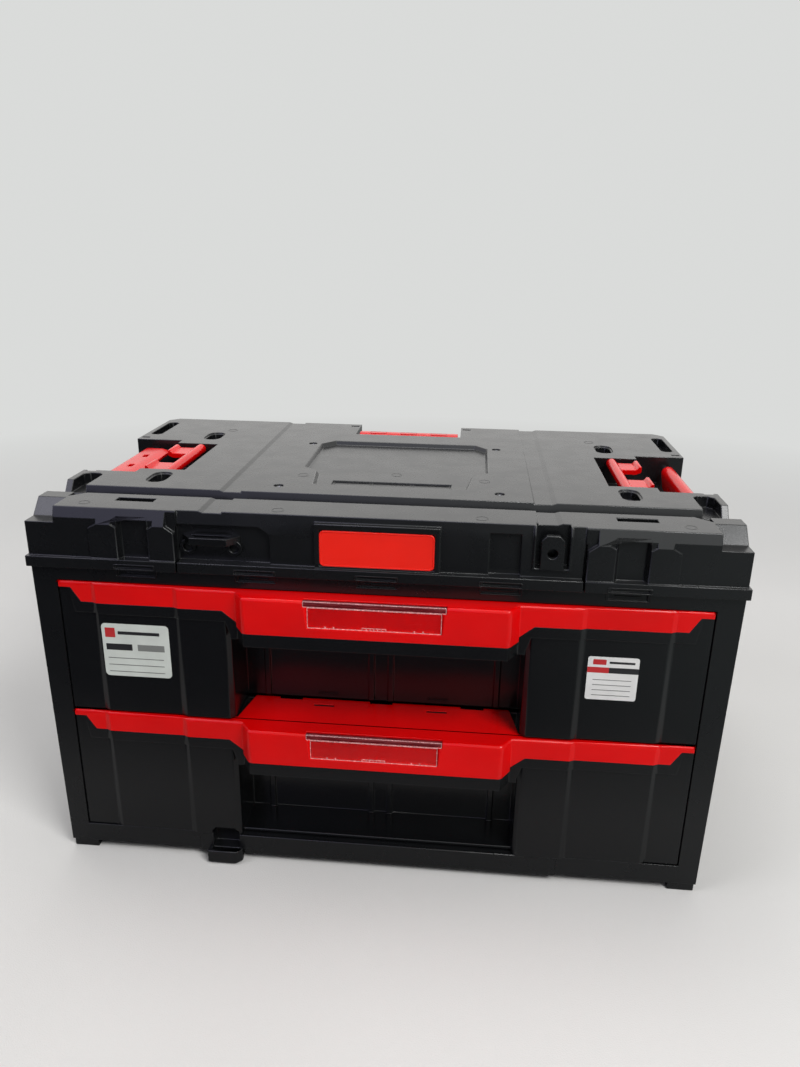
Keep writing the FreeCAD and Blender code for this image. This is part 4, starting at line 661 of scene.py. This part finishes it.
# Ejector marks: x, y, level, radius
EJECTOR_MARKS = (
    (0.0838, -0.0446, DECK, 0.0050), (-0.0821, -0.0454, DECK, 0.0050),
    (0.0812, -0.1517, DECK, 0.0050), (-0.0812, -0.1517, DECK, 0.0050),
    (0.2410, -0.1521, DECK, 0.0045), (-0.2410, -0.1521, DECK, 0.0045),
    (0.1973, 0.1286, DECK, 0.0050), (-0.1973, 0.1286, DECK, 0.0050),
    (0.0016, -0.0192, DECK - PANEL_DEPTH, 0.0050),
)


def build_cover_lines():
    """Lines round the flange's clip windows, in the sunk tray, and ejector marks on the deck."""
    shape = bmesh.new()
    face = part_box("top_cover")[0].y
    for x in CLIP_X:
        outer, inner = outline_pair(x - CLIP_HALF, x + CLIP_HALF, *FLANGE_CLIP_Z,
                                    FLANGE_CLIP_CORNER, LINE)
        add_frame(shape, outer, inner, face + LINE_SINK, -LINE_RISE, "y")
    for x0, x1 in TRAY_CELLS_X:
        outer, inner = outline_pair(x0, x1, *TRAY_CELLS_Y, TRAY_CELL_CORNER, LINE)
        add_frame(shape, outer, inner, DECK - TRAY_FLOOR, LINE_RISE, "z")
    for x, y, z, radius in EJECTOR_MARKS:
        outer, inner = (circle(x, y, r, MARK_POINTS) for r in (radius, radius - MARK_LINE))
        add_frame(shape, outer, inner, z - MARK_SINK, MARK_RISE, "z")
    new_piece("cover_lines", shape, [FINISHES["cover_plastic"]], "case")


LIP_HALF = 0.0100
LIP_DEPTH = (0.0008, 0.0040)
LIP_Z = (0.2776, 0.2784)


def build_case_lines():
    """Raised lines round the clip slots, and the clips' bright lips in them."""
    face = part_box("housing")[0].y
    shape = bmesh.new()
    for x in CLIP_X:
        outer, inner = outline_pair(x - CLIP_HALF, x + CLIP_HALF, *CASE_CLIP_Z,
                                    CASE_CLIP_CORNER, CASE_LINE)
        add_frame(shape, outer, inner, face + LINE_SINK, -LINE_RISE, "y")
        add_box(shape, (x - LIP_HALF, face + LIP_DEPTH[0], LIP_Z[0]),
                (x + LIP_HALF, face + LIP_DEPTH[1], LIP_Z[1]))
    new_piece("case_lines", shape, [FINISHES["black_plastic"]], "case")


# Screws of the cover, with a cross recess

SCREW_HEAD = 0.0042
SCREW_SHANK = 0.0020
SCREW_LENGTH = 0.0220
HEAD_HEIGHT = 0.0026
SCREW_POINTS = 24
# Radius and level under the top
SCREW_PROFILE = [
    (SCREW_SHANK, -HEAD_HEIGHT - SCREW_LENGTH), (SCREW_SHANK, -HEAD_HEIGHT),
    (SCREW_HEAD, -HEAD_HEIGHT), (SCREW_HEAD, -0.0016), (0.0040, -0.0009),
    (0.0036, -0.0004), (0.0029, 0.0),
]
CROSS_REACH = 0.0024
CROSS_HALF = 0.00055
CROSS_TAPER_SHARE = 0.62
CROSS_DEPTH = 0.0015


def cross_outline():
    """The twelve corners of the cross, three to each arm."""
    corners = []
    for turn in range(4):
        angle = math.radians(90 * turn)
        for a, b in ((CROSS_REACH, -CROSS_HALF), (CROSS_REACH, CROSS_HALF),
                     (CROSS_HALF, CROSS_HALF)):
            corners.append((a * math.cos(angle) - b * math.sin(angle),
                            a * math.sin(angle) + b * math.cos(angle)))
    return corners


def add_screw(shape, x, y, top):
    rows = [[shape.verts.new((px, py, top + z))
             for px, py in circle(x, y, radius, SCREW_POINTS)] for radius, z in SCREW_PROFILE]
    shape.faces.new(rows[0])
    for lower, upper in zip(rows, rows[1:]):
        join_rows(shape, lower, upper)
    cross = cross_outline()
    mouth = [shape.verts.new((x + a, y + b, top)) for a, b in cross]
    depth = [shape.verts.new((x + a * CROSS_TAPER_SHARE, y + b * CROSS_TAPER_SHARE,
                              top - CROSS_DEPTH)) for a, b in cross]
    ring = rows[-1]
    for k in range(len(cross)):
        n = (k + 1) % len(cross)
        a, b, c = ((2 * k + s - 1) % SCREW_POINTS for s in (0, 1, 2))
        shape.faces.new((mouth[k], ring[a], ring[b]))
        shape.faces.new((mouth[k], ring[b], ring[c], mouth[n]))
        shape.faces.new((mouth[k], mouth[n], depth[n], depth[k]))
    shape.faces.new(depth[::-1])


def build_screws():
    low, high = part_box("top_cover_screws")
    shape = bmesh.new()
    for x in (low.x + SCREW_HEAD, high.x - SCREW_HEAD):
        for y in (low.y + SCREW_HEAD, high.y - SCREW_HEAD):
            add_screw(shape, x, y, high.z)
    obj = new_piece("cover_cross_screws", shape, [FINISHES["screw_steel"]], "case")
    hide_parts("top_cover_screws")


# The bare plate in the middle of the front

PLATE_CORNER = 0.0040
PLATE_BACK = 0.0004
RIM_BACK = 0.00045
RIM_INSET = 0.0003
PLATE_RIM = 0.0012
RIM_CORNERS = (0.0037, 0.0029)
PLATE_STEPS = 8


def build_plate():
    low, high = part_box("name_plate")

    def outline(inset, radius):
        return rounded_outline(low.x + inset, high.x - inset, low.z + inset, high.z - inset,
                               radius, PLATE_STEPS)

    shape = bmesh.new()
    slab_xz(shape, outline(0.0, PLATE_CORNER), low.y + PLATE_BACK, high.y)
    add_frame(shape, outline(RIM_INSET, RIM_CORNERS[0]), outline(PLATE_RIM, RIM_CORNERS[1]),
              low.y + RIM_BACK, -RIM_BACK, "y")
    look = moulded("plate_polymer", PLATE_RED, WORN_PLATE_RED, rough=0.22, grain=0.000004,
                   edge=0.0005, gloss=0.35)
    obj = new_piece("bare_plate", shape, [look], "case")
    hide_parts("name_plate")


# Label windows: pane, rim lines, thumb tab and snap tabs

FRONT_NEAR = 0.0001
PANE_BACK = 0.0004
PANE_HALF = 0.0533
PANE_TOP = 0.0052
PANE_CORNER = 0.0008
BAR_HEIGHT = 0.0054
BAR_CORNER = 0.0007
BAR_INSET = 0.0003
RIM_WIDTH = 0.00045
SEAT = 0.0001
TAB_FOOT = 0.0002
SNAP_TABS_X = (-0.0390, -0.0320, 0.0320, 0.0390)
SNAP_TAB_WIDTH = 0.0010
SNAP_TAB_RISE = 0.0020
THUMB_HALF = 0.0095
THUMB_SIDE_WIDTH = 0.0006
THUMB_RISE = 0.0024
THUMB_BAR_Z = (0.0021, 0.0025)
THUMB_RIBS = 5
THUMB_RIB_PITCH = 0.0030
THUMB_RIB_HALF = 0.0003
THUMB_RIB_Z = (0.0006, 0.0016)


def window_pane(node, bar):
    """The clear pane and its bar, with their faces set back behind the rim lines."""
    low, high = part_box(node)
    pane = copy_of(node)
    front = [vert for vert in pane.verts if vert.co.y < low.y + FRONT_NEAR]
    bar_end = max(vert.co.x for vert in front)
    for vert in front:
        vert.co.y += PANE_BACK
    for face in pane.faces:
        # the bar's faces get the second look, whose dark red is painted shade
        if face.calc_center_median().z > high.z - BAR_HEIGHT:
            face.material_index = 1
    glass = stand_in(node, pane)
    glass.data.materials.append(bar)
    glass.visible_shadow = False
    return bar_end


def window_lines(node, bar_end):
    """Rims of the pane and of the bar, with the tabs along the foot."""
    low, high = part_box(node)
    face = low.y
    back = face + PANE_BACK + SEAT
    shape = bmesh.new()
    outer, inner = outline_pair(-PANE_HALF, PANE_HALF, low.z + SEAT, high.z - PANE_TOP,
                                PANE_CORNER, RIM_WIDTH)
    add_frame(shape, outer, inner, back, -PANE_BACK, "y")
    outer, inner = outline_pair(-bar_end, bar_end, high.z - BAR_HEIGHT + BAR_INSET,
                                high.z - SEAT, BAR_CORNER, RIM_WIDTH)
    add_frame(shape, outer, inner, face + PANE_BACK, -PANE_BACK, "y")

    def tab(x0, x1, z0, z1):
        add_box(shape, (x0, face + SEAT, low.z + z0), (x1, back, low.z + z1))

    for x in SNAP_TABS_X:
        tab(x - SNAP_TAB_WIDTH / 2, x + SNAP_TAB_WIDTH / 2, TAB_FOOT, SNAP_TAB_RISE)
    for x in (-THUMB_HALF, THUMB_HALF):
        tab(x - THUMB_SIDE_WIDTH / 2, x + THUMB_SIDE_WIDTH / 2, TAB_FOOT, THUMB_RISE)
    tab(-THUMB_HALF, THUMB_HALF, *THUMB_BAR_Z)
    for i in range(THUMB_RIBS):
        x = THUMB_RIB_PITCH * (i - (THUMB_RIBS - 1) / 2)
        tab(x - THUMB_RIB_HALF, x + THUMB_RIB_HALF, *THUMB_RIB_Z)
    return shape


def build_windows():
    """Clear windows. They cast no shadow, because light passes through them."""
    # the rim lines' pale pink is a painted highlight
    rim = clear_rim_highlight()
    # the bar's dark red is painted shade
    bar = clear_bar_shade()
    for prefix in ("lower", "upper"):
        node = prefix + "_label_window"
        bar_end = window_pane(node, bar)
        lines = new_piece(prefix + "_window_rim", window_lines(node, bar_end), [rim],
                          prefix + "_window")
        lines.visible_shadow = False


# Stickers on the upper drawer, with plain bands and no words

STICKER_FACE = -0.1665
STICKER_THICK = 0.00025
STICKER_SINK = 0.00002
PRINT_THICK = 0.00006
PRINT_CORNER = 0.0004
PRINT_STEPS = 2
RED_PRINT = 1
DARK_PRINT = 2
GREY_PRINT = 3
RULE_SHARE = 0.015
PALE_VINYL = (0.62, 0.66, 0.62, 1.0)
WHITE_VINYL = (0.74, 0.74, 0.73, 1.0)
DARK_INK = (0.018, 0.018, 0.020, 1.0)
RED_INK = (0.52, 0.015, 0.018, 1.0)
GREY_INK = (0.20, 0.21, 0.20, 1.0)
# Each sticker: left, right, foot, top, corner
LEFT_STICKER = (-0.2318, -0.1740, 0.1834, 0.2323, 0.0035)
RIGHT_STICKER = (0.1710, 0.2116, 0.1873, 0.2260, 0.0020)


def sticker(name, place, bands, looks):
    """bands are (look, x share from, to, z share from, to) of the sticker's width and height."""
    x0, x1, z0, z1, radius = place
    shape = bmesh.new()
    top = STICKER_FACE - STICKER_THICK
    slab_xz(shape, rounded_outline(x0, x1, z0, z1, radius), top, STICKER_FACE - STICKER_SINK)
    for look, left, right, low, high in bands:
        outline = rounded_outline(x0 + (x1 - x0) * left, x0 + (x1 - x0) * right,
                                  z0 + (z1 - z0) * low, z0 + (z1 - z0) * high,
                                  PRINT_CORNER, PRINT_STEPS)
        slab_xz(shape, outline, top - PRINT_THICK, top + PRINT_THICK, look)
    new_piece(name, shape, looks, "upper_drawer")


def ruled_lines(left, right, foot, pitch, count):
    """Thin grey lines, in shares of the sticker, from the top one down."""
    return [(GREY_PRINT, left, right, foot - pitch * i, foot + RULE_SHARE - pitch * i)
            for i in range(count)]


def build_stickers():
    pale = printed("sticker_pale_vinyl", PALE_VINYL)
    white = printed("sticker_white_vinyl", WHITE_VINYL)
    dark = printed("sticker_dark_print", DARK_INK)
    red = printed("sticker_red_print", RED_INK)
    grey = printed("sticker_grey_print", GREY_INK)
    left = [(RED_PRINT, 0.05, 0.20, 0.74, 0.92), (DARK_PRINT, 0.24, 0.86, 0.80, 0.86),
            (DARK_PRINT, 0.05, 0.44, 0.50, 0.62), (GREY_PRINT, 0.52, 0.92, 0.50, 0.62)]
    left += ruled_lines(0.06, 0.90, 0.34, 0.13, 3)
    sticker("left_sticker", LEFT_STICKER, left, [pale, red, dark, grey])
    right = [(RED_PRINT, 0.10, 0.36, 0.82, 0.94), (DARK_PRINT, 0.42, 0.92, 0.85, 0.90),
             (RED_PRINT, 0.0, 0.42, 0.63, 0.76), (DARK_PRINT, 0.42, 1.0, 0.63, 0.76)]
    right += ruled_lines(0.12, 0.88, 0.46, 0.12, 4)
    sticker("right_sticker", RIGHT_STICKER, right, [white, red, dark, grey])


# Studio

PALE = (0.70, 0.71, 0.70, 1.0)
DIM = (0.006, 0.007, 0.010, 1.0)
GREY = (0.26, 0.29, 0.285, 1.0)
FLOOR_LOW = (0.69, 0.68, 0.66, 1.0)
FLOOR_HIGH = (0.74, 0.73, 0.71, 1.0)
FLOOR_ROUGH = 0.85
FLOOR_GRAIN = 0.0002
CLOUD_NOISE = (1.6, 3.0)
FLOOR_NOISE = (900.0, 2.0)
FLOOR_RINGS = (1.0, 3.0, 9.0, 27.0)
FLOOR_POINTS = 36
BACKDROP_FROM = 0.75
BACKDROP_FULL = 1.9
FRONT_FROM = -0.26
FRONT_FULL = -0.42
NEAR_SHARE = 0.60
GREY_FROM = 0.10
GREY_FULL = 0.60


def floor_look():
    """Pale floor that runs into the backdrop. Gloss sees it only near the object in front."""
    n = Nodes("pale_floor")
    place = n.parts_of(n.place)
    length = n.tree.nodes.new("ShaderNodeVectorMath")
    length.operation = "LENGTH"
    n.link(n.place, length.inputs[0])
    path = n.tree.nodes.new("ShaderNodeLightPath").outputs
    far = n.span(length.outputs["Value"], BACKDROP_FROM, BACKDROP_FULL, 0.0, 1.0)
    seen = n.maths("MAXIMUM", path["Is Camera Ray"],
                   n.maths("MAXIMUM", path["Is Glossy Ray"], path["Is Transmission Ray"]))
    front = n.maths("MULTIPLY", path["Is Glossy Ray"],
                    n.span(place["Y"], FRONT_FROM, FRONT_FULL, NEAR_SHARE, 1.0))
    dim = n.mix(n.span(place["X"], GREY_FROM, GREY_FULL, 0.0, 1.0), DIM, GREY)
    cloud = n.mix(n.span(n.noise(*CLOUD_NOISE), 0.35, 0.65, 0.0, 1.0), FLOOR_LOW, FLOOR_HIGH)
    n.finish(Base_Color=n.mix(front, cloud, dim), Roughness=FLOOR_ROUGH,
             Normal=n.bump(n.noise(*FLOOR_NOISE), FLOOR_GRAIN))
    glow = n.tree.nodes.new("ShaderNodeEmission")
    n.link(n.mix(front, PALE, dim), glow.inputs["Color"])
    blend = n.tree.nodes.new("ShaderNodeMixShader")
    n.link(n.maths("MULTIPLY", far, seen), blend.inputs[0])
    n.link(n.shader.outputs["BSDF"], blend.inputs[1])
    n.link(glow.outputs["Emission"], blend.inputs[2])
    n.link(blend.outputs["Shader"], n.output.inputs["Surface"])
    return n.material


def build_stage():
    shape = bmesh.new()
    centre = shape.verts.new((0, 0, 0))
    rings = [[shape.verts.new((x, y, 0)) for x, y in circle(0, 0, radius, FLOOR_POINTS)]
             for radius in FLOOR_RINGS]
    for i in range(FLOOR_POINTS):
        shape.faces.new((centre, rings[0][i], rings[0][(i + 1) % FLOOR_POINTS]))
    for inner, outer in zip(rings, rings[1:]):
        for i in range(FLOOR_POINTS):
            j = (i + 1) % FLOOR_POINTS
            shape.faces.new((inner[i], outer[i], outer[j], inner[j]))
    mesh = bpy.data.meshes.new("floor")
    shape.to_mesh(mesh)
    shape.free()
    mesh.materials.append(floor_look())
    linked("floor", mesh)


AMBIENT_FRONT = (0.17, 0.17, 0.18, 1.0)
AMBIENT_BACK = (0.42, 0.42, 0.42, 1.0)
GLOSS_BACK = (1.16, 1.15, 1.13, 1.0)
GLOSS_LOW = (0.05, 0.06, 0.065, 1.0)
CEILING_RIGHT = (1.25, 1.30, 1.28, 1.0)
CEILING_LEFT = (1.05, 1.03, 1.50, 1.0)
BEHIND = (-0.20, 0.40)
ABOVE = (-0.02, 0.34)
LEFT = (0.05, -0.35)


def build_world():
    """A pale backdrop behind the object and a dim room in front of it."""
    world = bpy.data.worlds.new("studio")
    bpy.context.scene.world = world
    world.use_nodes = True
    nodes = world.node_tree.nodes
    links = world.node_tree.links
    nodes.clear()
    output = nodes.new("ShaderNodeOutputWorld")
    sky = nodes.new("ShaderNodeBackground")
    links.new(sky.outputs["Background"], output.inputs["Surface"])
    path = nodes.new("ShaderNodeLightPath").outputs
    place = nodes.new("ShaderNodeTexCoord")
    split = nodes.new("ShaderNodeSeparateXYZ")
    links.new(place.outputs["Generated"], split.inputs[0])

    def share(axis, reach):
        ramp = nodes.new("ShaderNodeMapRange")
        ramp.interpolation_type = "SMOOTHSTEP"
        ramp.inputs["From Min"].default_value = reach[0]
        ramp.inputs["From Max"].default_value = reach[1]
        links.new(split.outputs[axis], ramp.inputs["Value"])
        return ramp.outputs["Result"]

    def mix(factor, first, second):
        node = nodes.new("ShaderNodeMix")
        node.data_type = "RGBA"
        links.new(factor, node.inputs["Factor"])
        for socket, value in ((node.inputs[MIX_FIRST], first),
                              (node.inputs[MIX_SECOND], second)):
            if isinstance(value, bpy.types.NodeSocket):
                links.new(value, socket)
            else:
                socket.default_value = value
        return node.outputs[MIX_RESULT]

    behind = share("Y", BEHIND)
    room = mix(share("Z", ABOVE), GLOSS_LOW, mix(share("X", LEFT), CEILING_RIGHT, CEILING_LEFT))
    gloss = mix(behind, room, GLOSS_BACK)
    ambient = mix(behind, AMBIENT_FRONT, AMBIENT_BACK)
    either = nodes.new("ShaderNodeMath")
    either.operation = "MAXIMUM"
    links.new(path["Is Glossy Ray"], either.inputs[0])
    links.new(path["Is Transmission Ray"], either.inputs[1])
    unseen = mix(either.outputs["Value"], ambient, gloss)
    links.new(mix(path["Is Camera Ray"], unseen, PALE), sky.inputs["Color"])
    sky.inputs["Strength"].default_value = 1.0


# Each lamp: place, target, side of its square, watts, colour
LAMPS = {
    "key": ((1.15, -1.35, 1.9), (0, -0.1, 0.2), 0.9, 38.0, (1.0, 1.0, 1.0)),
    "left_soft": ((-1.5, -0.9, 2.1), (0, -0.1, 0.2), 1.0, 10.0, (0.97, 0.97, 1.0)),
    "overhead": ((-0.3, 0.4, 2.6), (0, 0, 0.2), 1.6, 22.0, (1.0, 1.0, 1.0)),
}


def build_lights():
    for name, (place, target, side, power, colour) in LAMPS.items():
        lamp = bpy.data.lights.new(name, "AREA")
        lamp.shape = "RECTANGLE"
        lamp.size = side
        lamp.size_y = side
        lamp.energy = power
        lamp.color = colour
        obj = linked(name, lamp)
        obj.location = place
        aim = Vector(target) - Vector(place)
        obj.rotation_euler = aim.to_track_quat("-Z", "Y").to_euler()


build_camera()
finish_nodes()
build_soft_mouldings()
build_grips()
build_cover()
build_cover_lines()
build_case_lines()
build_screws()
build_plate()
build_windows()
build_stickers()
build_stage()
build_world()
build_lights()
bpy.context.scene.view_settings.view_transform = "Standard"
